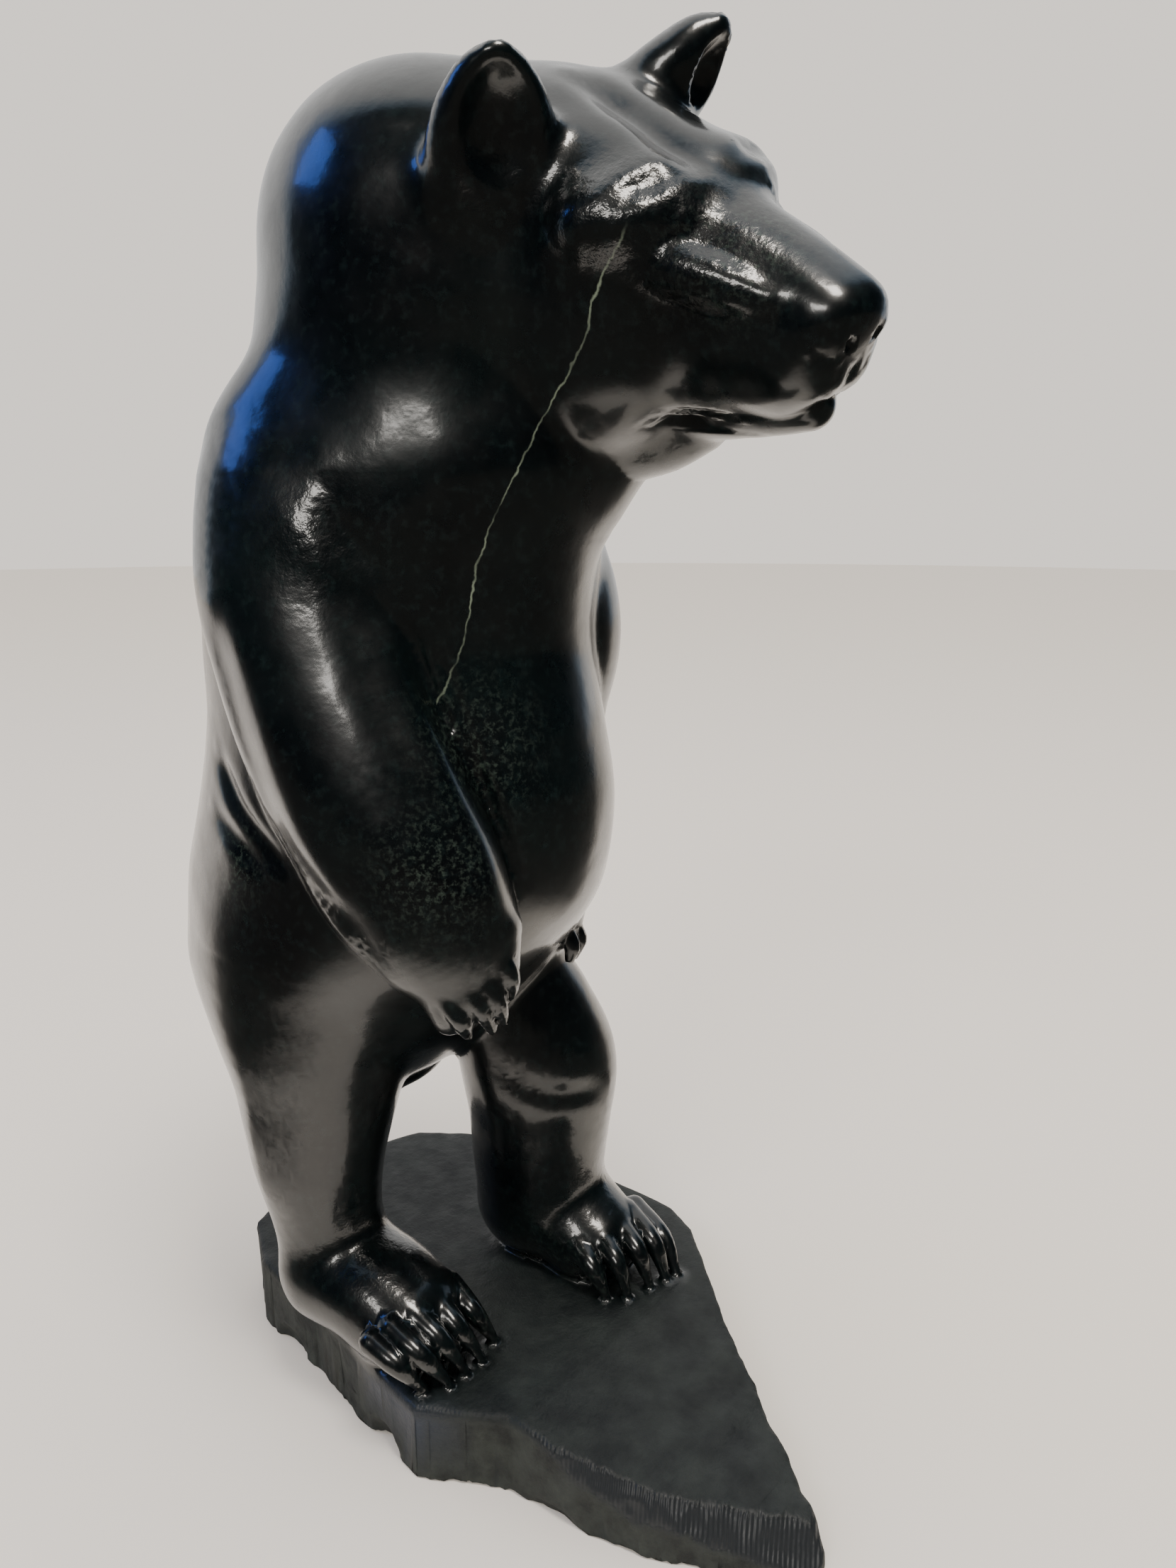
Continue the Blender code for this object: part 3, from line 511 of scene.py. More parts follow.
# Folds of the body: width, depth (a ridge where it is negative), the way they face, and their path
NEAR = (-0.75, -0.6, 0.2)
FOLDS = [
    (0.7, 0.6, NEAR, [
        (-10.0, -10.5, 59.3), (-9.3, -11.2, 56.0), (-9.0, -12.3, 53.3), (-8.9, -14.0, 50.2),
        (-8.5, -15.1, 47.8), (-7.9, -16.1, 45.5), (-7.5, -16.8, 43.6), (-7.2, -17.4, 41.4),
        (-7.1, -17.7, 39.5), (-7.6, -17.9, 38.1),
    ]),
    (0.5, 0.3, NEAR, [
        (-8.5, -11.5, 57.4), (-7.7, -12.2, 54.8), (-7.3, -13.1, 52.2), (-7.0, -13.9, 49.8),
        (-6.8, -14.7, 47.5), (-6.5, -15.6, 45.3),
    ]),
    (1.2, 0.55, NEAR, [
        (-17.0, 1.0, 59.6), (-17.3, -0.6, 55.9), (-17.4, -2.6, 51.4), (-17.2, -4.3, 47.3),
        (-16.8, -5.8, 44.1), (-16.2, -8.5, 41.0), (-15.4, -11.0, 39.0), (-14.3, -11.6, 36.3),
        (-12.8, -11.9, 34.1),
    ]),
    (0.9, 0.45, (-1, 0, 0), [
        (-13.8, 6.1, 48.8), (-15.0, 2.5, 45.3), (-15.2, -1.3, 42.6), (-14.8, -4.2, 40.2),
    ]),
    (0.9, 0.35, (-1, 0, 0), [(-14.3, 6.5, 44.5), (-15.4, 1.0, 42.0), (-15.2, -2.3, 40.5)]),
    (2.3, -0.8, NEAR, [
        (-13.4, -3.9, 69.1), (-13.9, -4.8, 66.5), (-13.6, -6.3, 63.8), (-12.6, -8.1, 61.1),
        (-11.5, -9.7, 58.2),
    ]),
    (1.2, 0.6, NEAR, [(-13.2, -6.0, 66.5), (-12.4, -7.7, 64.5), (-11.4, -9.1, 62.2), (-10.3, -10.2, 59.7)]),
    (2.2, -0.6, NEAR, [(-12.5, -7.2, 66.5), (-11.0, -9.5, 64.2), (-8.8, -11.7, 62.5), (-7.0, -13.0, 61.7)]),
    (1.6, 0.5, NEAR, [(-9.4, -10.9, 60.6), (-7.2, -12.5, 59.7), (-5.1, -13.7, 59.6)]),
    (2.8, -0.1, NEAR, [
        (-9.7, -10.5, 71.2), (-8.2, -12.7, 70.8), (-5.6, -15.1, 70.3), (-2.1, -16.9, 70.0),
        (1.0, -18.4, 69.9),
    ]),
    (2.4, 0.15, NEAR, [(-8.8, -11.2, 74.0), (-8.0, -12.6, 72.6), (-6.6, -14.0, 72.0), (-4.4, -15.6, 71.8)]),
    (1.1, 0.3, (0, -1, 0), [
        (3.2, -6.9, 22.1), (3.7, -8.0, 19.7), (5.3, -9.8, 18.1), (8.3, -11.1, 17.6), (11.2, -11.1, 17.1),
    ]),
]


# The slab of rock under the feet. Its outline is pointed at the front, its top is left dull, its front
# edges are sawn at a slant and its sides are chipped, with one small part polished at the near corner.

SLAB = np.array([0.096, 0.168, 0.0185]) / UNIT
TIP_THICKNESS = 0.0095 / UNIT

# Its outline in shares of its width and length, from the back, down the bear's right side and round the tip
FOOTING = [
    (-0.17, 0.305), (-0.26, 0.215), (-0.285, 0.12), (-0.28, 0.07), (-0.305, 0.02), (-0.325, -0.05),
    (-0.345, -0.13), (-0.355, -0.185), (-0.30, -0.24), (-0.245, -0.29), (-0.235, -0.38), (-0.20, -0.475),
    (-0.12, -0.56), (-0.02, -0.66), (0.03, -0.652), (0.19, -0.522), (0.35, -0.392), (0.435, -0.332),
    (0.585, -0.235), (0.632, -0.18), (0.636, -0.1), (0.62, 0.1), (0.55, 0.24), (0.45, 0.315),
    (0.25, 0.35), (0.02, 0.35),
]


def inside_outline(plan, outline):
    """Signed distance to a closed outline."""
    away = np.full(len(plan), FAR)
    inside = np.zeros(len(plan), bool)
    for a, b in zip(outline, np.roll(outline, -1, axis=0)):
        along = b - a
        t = np.clip((plan - a) @ along / (along @ along), 0, 1)
        away = np.minimum(away, np.linalg.norm(plan - a - t[:, None] * along, axis=1))
        rise = along[1] if along[1] else 1e-9
        crosses = (a[1] > plan[:, 1]) != (b[1] > plan[:, 1])
        inside ^= crosses & (plan[:, 0] < a[0] + (plan[:, 1] - a[1]) / rise * along[0])
    return np.where(inside, -away, away)


# Flat cuts along the slab's edges: a place on each in shares of the slab's sizes, and the way it faces
CUTS = [
    ((-0.256, -0.311, 0.0), (-0.80, -0.35, 0.487)), ((-0.004, -0.608, -0.442), (-0.62, -0.53, 0.573)),
    ((0.012, -0.638, -0.518), (0.25, -0.80, 0.55)),
]

# Where the slab starts to fall towards its tip and how far it falls for, in shares of its length
FALL_START, FALL_RUN = -0.302, 0.336


def slab():
    """The slab with its flat cuts, before its edges are chipped."""
    outline = np.array(FOOTING) * SLAB[:2]
    drop = SLAB[2] - TIP_THICKNESS

    def distance(p):
        away = -inside_outline(p[:, :2], outline)
        fall = np.clip((FALL_START - p[:, 1] / SLAB[1]) / FALL_RUN, 0, 1) * drop
        away = smooth_min(away, -(p[:, 2] + fall), 1.0)
        for place, way in CUTS:
            away = smooth_min(away, (place * SLAB - p) @ np.array(way), 0.3)
        return np.maximum(-away, -SLAB[2] - p[:, 2])

    middle = (outline.min(axis=0) + outline.max(axis=0)) / 2
    return distance, np.array([*middle, -SLAB[2] / 2]), np.linalg.norm(SLAB) / 2


# Chips broken from the slab's edge: centre and radii, in shares of the slab's sizes
CHIPS = [
    ((-0.335, 0.144, -0.945), (0.076, 0.060, 0.366)), ((-0.376, -0.017, -0.854), (0.062, 0.057, 0.305)),
    ((-0.379, -0.107, -0.945), (0.056, 0.044, 0.366)), ((-0.273, -0.366, -1.006), (0.050, 0.060, 0.244)),
    ((0.664, 0.034, -0.457), (0.071, 0.084, 0.457)), ((0.411, 0.359, -0.701), (0.147, 0.034, 0.396)),
]


# The finished surface. The bear and the slab are blended where the feet grow out of the rock, and the
# surface is found on a fine grid, thinned, and drawn back onto the true form.

# The space that holds the bear, the grid's cell and the triangles of the finished mesh
BEAR_ROOM = np.array([(-20.0, -30.0, 0.0), (22.0, 22.0, 102.0)])
CELL = 0.0014 / UNIT
MOST_TRIANGLES = 190000

# How softly the legs run into the belly, from front to back, the arms into the body, from the elbow up, and
# the feet into the rock
LEG_BLEND = (-8, 0), (0.9, 2.5)
ARM_BLEND = (50, 60, 68), (0.6, 1.2, 6.0)
FOOT_BLEND = 0.9


def work_bear(points):
    """The bear with its legs, arms, claws and folds."""
    bear = Stone(points)
    bear.add(trunk(), 1)
    bear.add(ellipsoid(*CROWN), 2)
    work_head(bear)
    for side in (-1, 1):
        bear.join(leg(points, side), np.interp(points[:, 1], *LEG_BLEND))
    for side in (-1, 1):
        bear.join(arm(points, side), np.interp(points[:, 2], *ARM_BLEND))
        work_claws(bear, side)
    for fold in FOLDS:
        bear.score(*fold)
    return bear


def work_stone(points):
    """Distances to the whole carving and to the bear alone, without the rock that it stands on."""
    stone = work_bear(points)
    bear_away = stone.away.copy()
    stone.add(slab(), FOOT_BLEND)
    for centre, radii in CHIPS:
        stone.cut(ellipsoid(centre * SLAB, radii * SLAB), 0.2)
    return np.maximum(stone.away, -SLAB[2] - points[:, 2]), bear_away


# The ways to walk from a cube's first corner to its last, and whether each turns the same way round
WALKS = (
    ((0, 1, 2), True), ((1, 2, 0), True), ((2, 0, 1), True),
    ((0, 2, 1), False), ((2, 1, 0), False), ((1, 0, 2), False),
)
# The one corner, or the two, of a tetrahedron that lie inside the stone, followed by the others
CORNERS = ((0, 1, 2, 3), (1, 0, 3, 2), (2, 3, 0, 1), (3, 2, 1, 0))
PAIRS = ((0, 1, 2, 3), (0, 2, 3, 1), (0, 3, 1, 2), (1, 2, 0, 3), (1, 3, 2, 0), (2, 3, 0, 1))


def field(low, high, cell, block=8):
    """Distances on a grid, worked out finely only in the blocks of cells near the surface."""
    shape = (np.ceil((high - low) / (cell * block)).astype(int)) * block
    coarse = np.stack(np.meshgrid(*(np.arange(n // block) for n in shape), indexing="ij"), axis=-1)
    middles = low + (coarse.reshape(-1, 3) + 0.5) * block * cell
    away = work_stone(middles)[0]
    values = np.repeat(np.repeat(np.repeat(away.reshape(coarse.shape[:3]), block, 0), block, 1), block, 2)
    values = np.pad(values, ((0, 1),) * 3, mode="edge")
    close = np.abs(away) < block * cell * 1.3
    steps = np.stack(np.meshgrid(*(np.arange(block + 1),) * 3, indexing="ij"), axis=-1).reshape(-1, 3)
    index = (coarse.reshape(-1, 3)[close][:, None] * block + steps).reshape(-1, 3)
    flat = np.unique(np.ravel_multi_index(index.T, values.shape))
    index = np.stack(np.unravel_index(flat, values.shape), axis=-1)
    values.reshape(-1)[flat] = work_stone(low + index * cell)[0]
    return values


def skin(values, low, cell):
    """The surface where the distance is zero, from six tetrahedra in each cube of the grid."""
    inside = values < 0
    some = np.zeros(tuple(n - 1 for n in values.shape), int)
    for corner in np.ndindex(2, 2, 2):
        some += inside[tuple(slice(c, c + n) for c, n in zip(corner, some.shape))]
    cubes = np.ravel_multi_index(np.nonzero((some > 0) & (some < 8)), values.shape)
    flat, ins = values.reshape(-1), inside.reshape(-1)
    stride = (values.shape[1] * values.shape[2], values.shape[2], 1)
    edges = []
    for order, even in WALKS:
        ends = np.cumsum([0] + [stride[k] for k in order])
        tets = cubes[:, None] + (ends if even else ends[[0, 2, 1, 3]])
        signs = ins[tets]
        code = signs @ (1, 2, 4, 8)
        for i, j, k, l in CORNERS:
            for match, flip in ((1 << i, False), (15 - (1 << i), True)):
                t = tets[code == match]
                face = np.stack([t[:, [i, j]], t[:, [i, k]], t[:, [i, l]]], axis=1)
                edges.append(face[:, ::-1] if flip else face)
        for i, j, k, l in PAIRS:
            t = tets[code == (1 << i) + (1 << j)]
            quad = np.stack([t[:, [i, k]], t[:, [i, l]], t[:, [j, l]], t[:, [j, k]]], axis=1)
            edges += [quad[:, [0, 1, 2]], quad[:, [0, 2, 3]]]
    edges = np.sort(np.concatenate(edges), axis=2)
    keys = edges[..., 0] * np.int64(flat.size) + edges[..., 1]
    keys, faces = np.unique(keys, return_inverse=True)
    a, b = keys // flat.size, keys % flat.size
    share = np.clip(flat[a] / (flat[a] - flat[b]), 0.06, 0.94)[:, None]
    a, b = (np.stack(np.unravel_index(end, values.shape), axis=-1) for end in (a, b))
    return low + cell * (a * (1 - share) + b * share), faces.reshape(-1, 3)


def speckle(points, size, seed):
    """Smooth noise from -1 to 1 with lumps of about the size given."""
    cell = np.floor(points / size).astype(np.int64)
    share = points / size - cell
    share = share * share * (3 - 2 * share)
    total = np.zeros(len(points))
    for corner in np.ndindex(2, 2, 2):
        at = cell + corner
        key = (at[:, 0] * 73856093) ^ (at[:, 1] * 19349663) ^ (at[:, 2] * 83492791) ^ (seed * 2654435761)
        key = (key ^ (key >> 13)) * 1274126177 & 0xFFFFFFFF
        value = ((key ^ (key >> 16)) & 0xFFFF) / 32767.5 - 1
        weight = np.prod(np.where(np.array(corner), share, 1 - share), axis=1)
        total += value * weight
    return total


# How deep the unevenness is on the body, how much more on the face, on the slab's top and on its sides
BODY_LUMPS, FACE_LUMPS, BODY_GRAIN = 0.03, 0.05, 0.012
TOP_LUMPS, TOP_GRAIN = 0.05, 0.03
SIDE_LUMPS, SIDE_CHIPS, SIDE_GRAIN = 0.32, 0.14, 0.05
# Where the face and the slab's sides start, forwards and downwards, and over how much they come in
FACE_FROM, FACE_OVER = 14, 6
SIDE_FROM, SIDE_OVER = 0.6, 1.2


def rock_share(bear_away):
    """How far a place belongs to the rock slab and not to the bear."""
    return np.clip(bear_away / FOOT_BLEND - 0.2, 0, 1)


def worked_surface(points):
    """The stone with the unevenness that the hand and the hammer left on it."""
    away, bear_away = work_stone(points)
    rock = rock_share(bear_away)
    side = rock * np.clip((-SIDE_FROM - points[:, 2]) / SIDE_OVER, 0, 1)
    face = np.clip((-FACE_FROM - points[:, 1]) / FACE_OVER, 0, 1)
    lumps = BODY_LUMPS + FACE_LUMPS * face
    away += (lumps * speckle(points, 3.2, 1) + BODY_GRAIN * speckle(points, 1.3, 2)) * (1 - rock)
    away += (TOP_LUMPS * speckle(points, 2.6, 3) + TOP_GRAIN * speckle(points, 1.0, 4)) * (rock - side)
    broken = SIDE_LUMPS * np.abs(speckle(points * (1, 1, 0.7), 3.4, 5))
    broken = broken + SIDE_CHIPS * np.abs(speckle(points, 1.5, 6))
    away += (broken + SIDE_GRAIN * speckle(points, 0.7, 7)) * side
    return np.maximum(away, -SLAB[2] - points[:, 2])


def slope_of(points, away, step=0.03):
    """The way out of the stone at each point, and how fast the distance grows along it."""
    slopes = [worked_surface(points + step * axis) - away for axis in np.eye(3)]
    return np.stack(slopes, axis=1) / step


slab_plan = np.array(FOOTING) * SLAB[:2]
low = np.array([*np.minimum(slab_plan.min(axis=0), BEAR_ROOM[0][:2]), -SLAB[2]]) - 4 * CELL
high = np.maximum(BEAR_ROOM[1], (*slab_plan.max(axis=0), 0)) + 4 * CELL
points, faces = skin(field(low, high, CELL), low, CELL)
rough_out = bpy.data.meshes.new("rough_out")
rough_out.from_pydata(points.tolist(), [], faces.tolist())
rough_out.update()
roughed = bpy.data.objects.new("rough_out", rough_out)
bpy.context.collection.objects.link(roughed)
fewer = roughed.modifiers.new("fewer triangles", "DECIMATE")
fewer.ratio = MOST_TRIANGLES / len(faces)
thinned = roughed.evaluated_get(bpy.context.evaluated_depsgraph_get())
stone_mesh = bpy.data.meshes.new_from_object(thinned)
stone_mesh.name = "jade_bear"
bpy.data.objects.remove(roughed)
bpy.data.meshes.remove(rough_out)

points = np.empty(len(stone_mesh.vertices) * 3)
stone_mesh.vertices.foreach_get("co", points)
points = points.reshape(-1, 3)
SETTLINGS, LEAST_SLOPE = 2, 0.1
for _ in range(SETTLINGS):
    away = worked_surface(points)
    slope = slope_of(points, away)
    points = points - slope * (away / np.maximum((slope**2).sum(axis=1), LEAST_SLOPE))[:, None]
slope = slope_of(points, worked_surface(points))
facing = slope / np.maximum(np.linalg.norm(slope, axis=1), 1e-9)[:, None]

# The carving's middle in plan and its underside come to the frame's origin
middle = (points.min(axis=0) + points.max(axis=0)) / 2
ORIGIN = np.array([middle[0], middle[1], -SLAB[2]])
placed = np.clip((points - ORIGIN) * UNIT, solid_box[0], solid_box[1])
stone_mesh.vertices.foreach_set("co", placed.reshape(-1))
stone_mesh.shade_smooth()
stone_mesh.update()
stone_mesh.normals_split_custom_set_from_vertices(facing.tolist())

# The part of the slab's near corner that is polished and given a painted blue reflection: its centre and
# radii
POLISHED_CORNER = np.array([(-12.0, -8.5, -1.6), (3.0, 5.0, 2.2)])

rock = rock_share(work_stone(points)[1])
sawn = np.zeros(len(points))
for place, way in CUTS:
    flat_to = facing @ np.array(way)
    level = np.abs((points - place * SLAB) @ np.array(way))
    sawn = np.maximum(sawn, np.clip(flat_to * 6 - 4.6, 0, 1) * np.clip(1.5 - level * 2, 0, 1))
edge = np.clip(1.6 - 2.2 * facing[:, 2], 0, 1) * np.clip(-points[:, 2] - 0.3, 0, 1) * (1 - sawn)
# Where the slab's corner is polished, which also places its painted blue reflection
corner = np.clip(1.5 - np.linalg.norm((points - POLISHED_CORNER[0]) / POLISHED_CORNER[1], axis=1), 0, 1)
masks = {
    "rock": rock,
    "sawn": sawn * rock,
    "broken": edge * rock * (1 - corner),
    "corner": np.maximum(edge, 0.5) * rock * corner,
}
for name, values in masks.items():
    layer = stone_mesh.attributes.new(name, "FLOAT", "POINT")
    layer.data.foreach_set("value", values.astype(np.float32))

carving = bpy.data.objects.new("jade_bear", stone_mesh)
bpy.context.collection.objects.link(carving)


# The finish of the stone: near-black green nephrite, ground and waxed to a gloss on the bear, dull on top
# of the rock, sawn along its front edges and freshly broken on its sides. One thin pale vein runs down
# from the brow to the fold in front of the right arm, and a few places are flecked with paler green.

# Soft patches: centre and reach
FLECKED = [
    ((-6.7, -13.6, 50.0), 4.0), ((-12.3, -15.8, 43.0), 3.6), ((-15.4, 2.9, 41.0), 3.2),
    ((1.5, -11.5, 0.0), 5.5), ((-0.1, -29.7, 80.5), 3.5),
]
TOOLED = [
    ((-5.4, -16.4, 85.8), 3.6), ((-1.5, -27.5, 80.0), 4.6), ((-8.0, -2.5, 7.0), 4.4),
    ((9.3, -7.5, 6.5), 4.0), ((-12.8, -6.6, 63.5), 4.0), ((-6.3, -23.0, 80.6), 3.6),
    ((-3.6, -23.7, 84.0), 2.6),
]


# The sheet of the vein: the way it faces and how far out it lies, its wave's height, middle and turn, and
# the heights between which it comes to the surface
VEIN_WAY, VEIN_OUT = np.array((-0.806, 0.478, 0.349)), 19.66
WAVE_HEIGHT, WAVE_MIDDLE, WAVE_TURN = 0.5, 64.5, 0.359
VEIN_FOOT, VEIN_TOP = 50.0, 81.5


def patches(places):
    """How far each place lies in one of the soft patches."""
    total = np.zeros(len(points))
    for centre, reach in places:
        total += np.exp(-(np.linalg.norm(points - centre, axis=1) / reach) ** 2)
    return np.clip(total, 0, 1)


def vein_offset():
    """How far each place lies from the crack that the vein fills, a gently wavy sheet through the stone."""
    sheet = points @ VEIN_WAY - VEIN_OUT
    return sheet - WAVE_HEIGHT * np.cos((points[:, 2] - WAVE_MIDDLE) * WAVE_TURN)


def vein_reach():
    """Where the crack comes to the surface: on the bear's right side, from the brow to the arm's fold."""
    height = np.clip(np.minimum(points[:, 2] - VEIN_FOOT, VEIN_TOP - points[:, 2]) / 1.5, 0, 1)
    return height * np.clip(-3 - facing[:, 0] * 10, 0, 1)


spots = {
    "flecked": patches(FLECKED),
    "tooled": patches(TOOLED),
    "vein": vein_offset(),
    "veined": vein_reach(),
}
for name, values in spots.items():
    layer = stone_mesh.attributes.new(name, "FLOAT", "POINT")
    layer.data.foreach_set("value", values.astype(np.float32))

# The stone's colours: the body's deep and lighter green, its specks and pale flecks, the vein, the slab's
# dull top, its sawn edge, a painted blue reflection on its polished corner, and its broken sides
DEEP_GREEN, LIGHTER_GREEN = (0.0004, 0.0013, 0.0021), (0.0016, 0.0045, 0.0048)
SPECK_GREEN, FLECK_GREEN, VEIN_PALE = (0.006, 0.015, 0.015), (0.06, 0.09, 0.07), (0.12, 0.15, 0.11)
DULL_DARK, DULL_LIGHT = (0.005, 0.008, 0.009), (0.016, 0.022, 0.021)
SAWN_GREY, PAINTED_BLUE_REFLECTION = (0.014, 0.017, 0.02), (0.012, 0.02, 0.036)
BREAK_DARK, BREAK_LIGHT = (0.009, 0.012, 0.012), (0.036, 0.045, 0.039)

# How strongly the stone and its wax bend light, how rough the wax is, and how much of the body it covers
STONE_IOR, WAX_IOR, WAX_ROUGHNESS, WAX_SHARE = 1.45, 1.6, 0.14, 0.85
SAWN_ROUGHNESS, CORNER_ROUGHNESS, BREAK_ROUGHNESS = 0.36, 0.34, 0.68

jade = bpy.data.materials.new("dark_jade")
jade.use_nodes = True
tree = jade.node_tree
gloss = tree.nodes["Principled BSDF"]
gloss.inputs["IOR"].default_value = STONE_IOR


def node(kind, inputs=(), **settings):
    """A node with its settings made, and each input given a value or joined to another's output."""
    made = tree.nodes.new(kind)
    for name, value in settings.items():
        setattr(made, name, value)
    for name, value in dict(inputs).items():
        if isinstance(value, bpy.types.NodeSocket):
            tree.links.new(value, made.inputs[name])
        else:
            made.inputs[name].default_value = value
    return made


def sums(kind, a, b, clamp=False):
    """Two values added, multiplied or otherwise worked out together."""
    return node("ShaderNodeMath", {0: a, 1: b}, operation=kind, use_clamp=clamp).outputs[0]


def ramp(value, low, high, to_low=0.0, to_high=1.0):
    """A value stretched from one range to another and held there."""
    values = {"Value": value, "From Min": low, "From Max": high, "To Min": to_low, "To Max": to_high}
    return node("ShaderNodeMapRange", values).outputs[0]


def blend_colour(share, a, b):
    """One colour passing into another, each given or joined to an output."""
    made = node("ShaderNodeMix", {0: share}, data_type="RGBA")
    for socket, value in ((made.inputs[6], a), (made.inputs[7], b)):
        if isinstance(value, bpy.types.NodeSocket):
            tree.links.new(value, socket)
        else:
            socket.default_value = (*value, 1)
    return made.outputs[2]


def blend_value(share, a, b):
    return node("ShaderNodeMix", {0: share, 2: a, 3: b}).outputs[0]


def mask(name):
    return node("ShaderNodeAttribute", attribute_name=name).outputs["Fac"]


spot = node("ShaderNodeTexCoord").outputs["Object"]


def noise(per_metre, detail=2.0, rough=0.5):
    values = {"Vector": spot, "Scale": per_metre, "Detail": detail, "Roughness": rough}
    return node("ShaderNodeTexNoise", values).outputs["Fac"]


rock_mask, sawn_mask, broken_mask, corner_mask = (mask(name) for name in masks)
cloud = noise(34, 4, 0.62)
fleck = noise(520, 3, 0.6)
fine = noise(1700, 2, 0.5)
body_green = blend_colour(ramp(cloud, 0.36, 0.68), DEEP_GREEN, LIGHTER_GREEN)
body_green = blend_colour(ramp(fleck, 0.52, 0.8, 0, 0.55), body_green, SPECK_GREEN)
fleck_share = sums("MULTIPLY", mask("flecked"), ramp(noise(900, 4, 0.7), 0.5, 0.66))
body_green = blend_colour(sums("MULTIPLY", fleck_share, 0.4), body_green, FLECK_GREEN)
wobble = sums("MULTIPLY", sums("SUBTRACT", noise(260, 3), 0.5), 0.75)
vein_off = sums("ABSOLUTE", sums("ADD", mask("vein"), wobble), 0)
vein_share = sums("MULTIPLY", ramp(vein_off, 0.09, 0.02), ramp(noise(150, 3), 0.36, 0.62, 0.12, 1))
vein_share = sums("MULTIPLY", vein_share, mask("veined"))
body_green = blend_colour(vein_share, body_green, VEIN_PALE)
dull_green = blend_colour(ramp(noise(90, 5, 0.65), 0.35, 0.7), DULL_DARK, DULL_LIGHT)
stone_colour = blend_colour(rock_mask, body_green, dull_green)
stone_colour = blend_colour(sawn_mask, stone_colour, SAWN_GREY)
pale_break = blend_colour(ramp(noise(160, 6, 0.7), 0.35, 0.72), BREAK_DARK, BREAK_LIGHT)
stone_colour = blend_colour(broken_mask, stone_colour, pale_break)
# On the polished corner the colour is a painted blue reflection
stone_colour = blend_colour(corner_mask, stone_colour, PAINTED_BLUE_REFLECTION)
tree.links.new(stone_colour, gloss.inputs["Base Color"])

polish = ramp(noise(120, 4, 0.6), 0.3, 0.75, 0.24, 0.4)
dull = ramp(noise(200, 4), 0.3, 0.7, 0.5, 0.66)
roughness = blend_value(rock_mask, polish, dull)
roughness = blend_value(sawn_mask, roughness, SAWN_ROUGHNESS)
roughness = blend_value(broken_mask, roughness, BREAK_ROUGHNESS)
roughness = blend_value(corner_mask, roughness, CORNER_ROUGHNESS)
tree.links.new(roughness, gloss.inputs["Roughness"])
gloss.inputs["Coat IOR"].default_value = WAX_IOR
gloss.inputs["Coat Roughness"].default_value = WAX_ROUGHNESS
waxed = sums("MULTIPLY", sums("SUBTRACT", 1.0, rock_mask), WAX_SHARE)
tree.links.new(waxed, gloss.inputs["Coat Weight"])

# Relief in millimetres, and how the saw ran across the slab
SAW_ANGLE = math.radians(62)
ripple = sums("ADD", sums("MULTIPLY", noise(300, 2), 0.045), sums("MULTIPLY", fine, 0.007))
tooling = sums("MULTIPLY", sums("MULTIPLY", noise(480, 3, 0.6), 0.24), mask("tooled"))
polished_relief = sums("ADD", ripple, tooling)
rock_relief = sums("ADD", sums("MULTIPLY", noise(420, 6, 0.65), 0.35), sums("MULTIPLY", fine, 0.06))
turned_spot = node("ShaderNodeMapping", {"Vector": spot, "Rotation": (0, 0, SAW_ANGLE)}).outputs[0]
saw = {"Vector": turned_spot, "Scale": 330, "Distortion": 2.6, "Detail": 3, "Detail Scale": 0.6}
teeth = node("ShaderNodeTexWave", saw, bands_direction="X").outputs["Fac"]
sawn_relief = sums("ADD", sums("MULTIPLY", teeth, 0.1), sums("MULTIPLY", fleck, 0.05))
broken_relief = sums("MULTIPLY", noise(330, 8, 0.7), 0.9)
relief = blend_value(rock_mask, polished_relief, rock_relief)
relief = blend_value(sawn_mask, relief, sawn_relief)
relief = blend_value(broken_mask, relief, broken_relief)
bump = node("ShaderNodeBump", {"Height": relief, "Distance": 0.001, "Strength": 1.0})
tree.links.new(bump.outputs[0], gloss.inputs["Normal"])
tree.links.new(bump.outputs[0], gloss.inputs["Coat Normal"])

stone_mesh.materials.clear()
stone_mesh.materials.append(jade)
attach(carving, "root")
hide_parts("bear_carving")


# The floor: a plain pale disc, wide enough to fill the view. In the polish its colour is painted: pale
# close to the slab and behind the carving and black elsewhere, a painted dark reflection standing for a dim
# room.

FLOOR_RADIUS, RIM_POINTS = 4, 64
# The floor's pale paint, and the black painted into its reflection
PALE_PAINT, PAINTED_DARK_REFLECTION = (0.79, 0.765, 0.725), (0, 0, 0)
BEHIND = (0.6, 0.8, 0.0)

disc = bpy.data.meshes.new("floor")
round_angles = np.linspace(0, 2 * math.pi, RIM_POINTS, endpoint=False)
rim = [(FLOOR_RADIUS * math.cos(a), FLOOR_RADIUS * math.sin(a), 0) for a in round_angles]
disc.from_pydata(rim, [], [tuple(range(RIM_POINTS))])
floor = bpy.data.objects.new("floor", disc)
bpy.context.collection.objects.link(floor)
pale = bpy.data.materials.new("pale_floor")
pale.use_nodes = True
tree = pale.node_tree
paint = tree.nodes["Principled BSDF"]
paint.inputs["Roughness"].default_value = 0.7
paint.inputs["Specular IOR Level"].default_value = 0
place = node("ShaderNodeTexCoord").outputs["Object"]
behind = node("ShaderNodeVectorMath", {0: place, 1: BEHIND}, operation="DOT_PRODUCT").outputs["Value"]
distance_out = node("ShaderNodeVectorMath", {0: place}, operation="LENGTH").outputs["Value"]
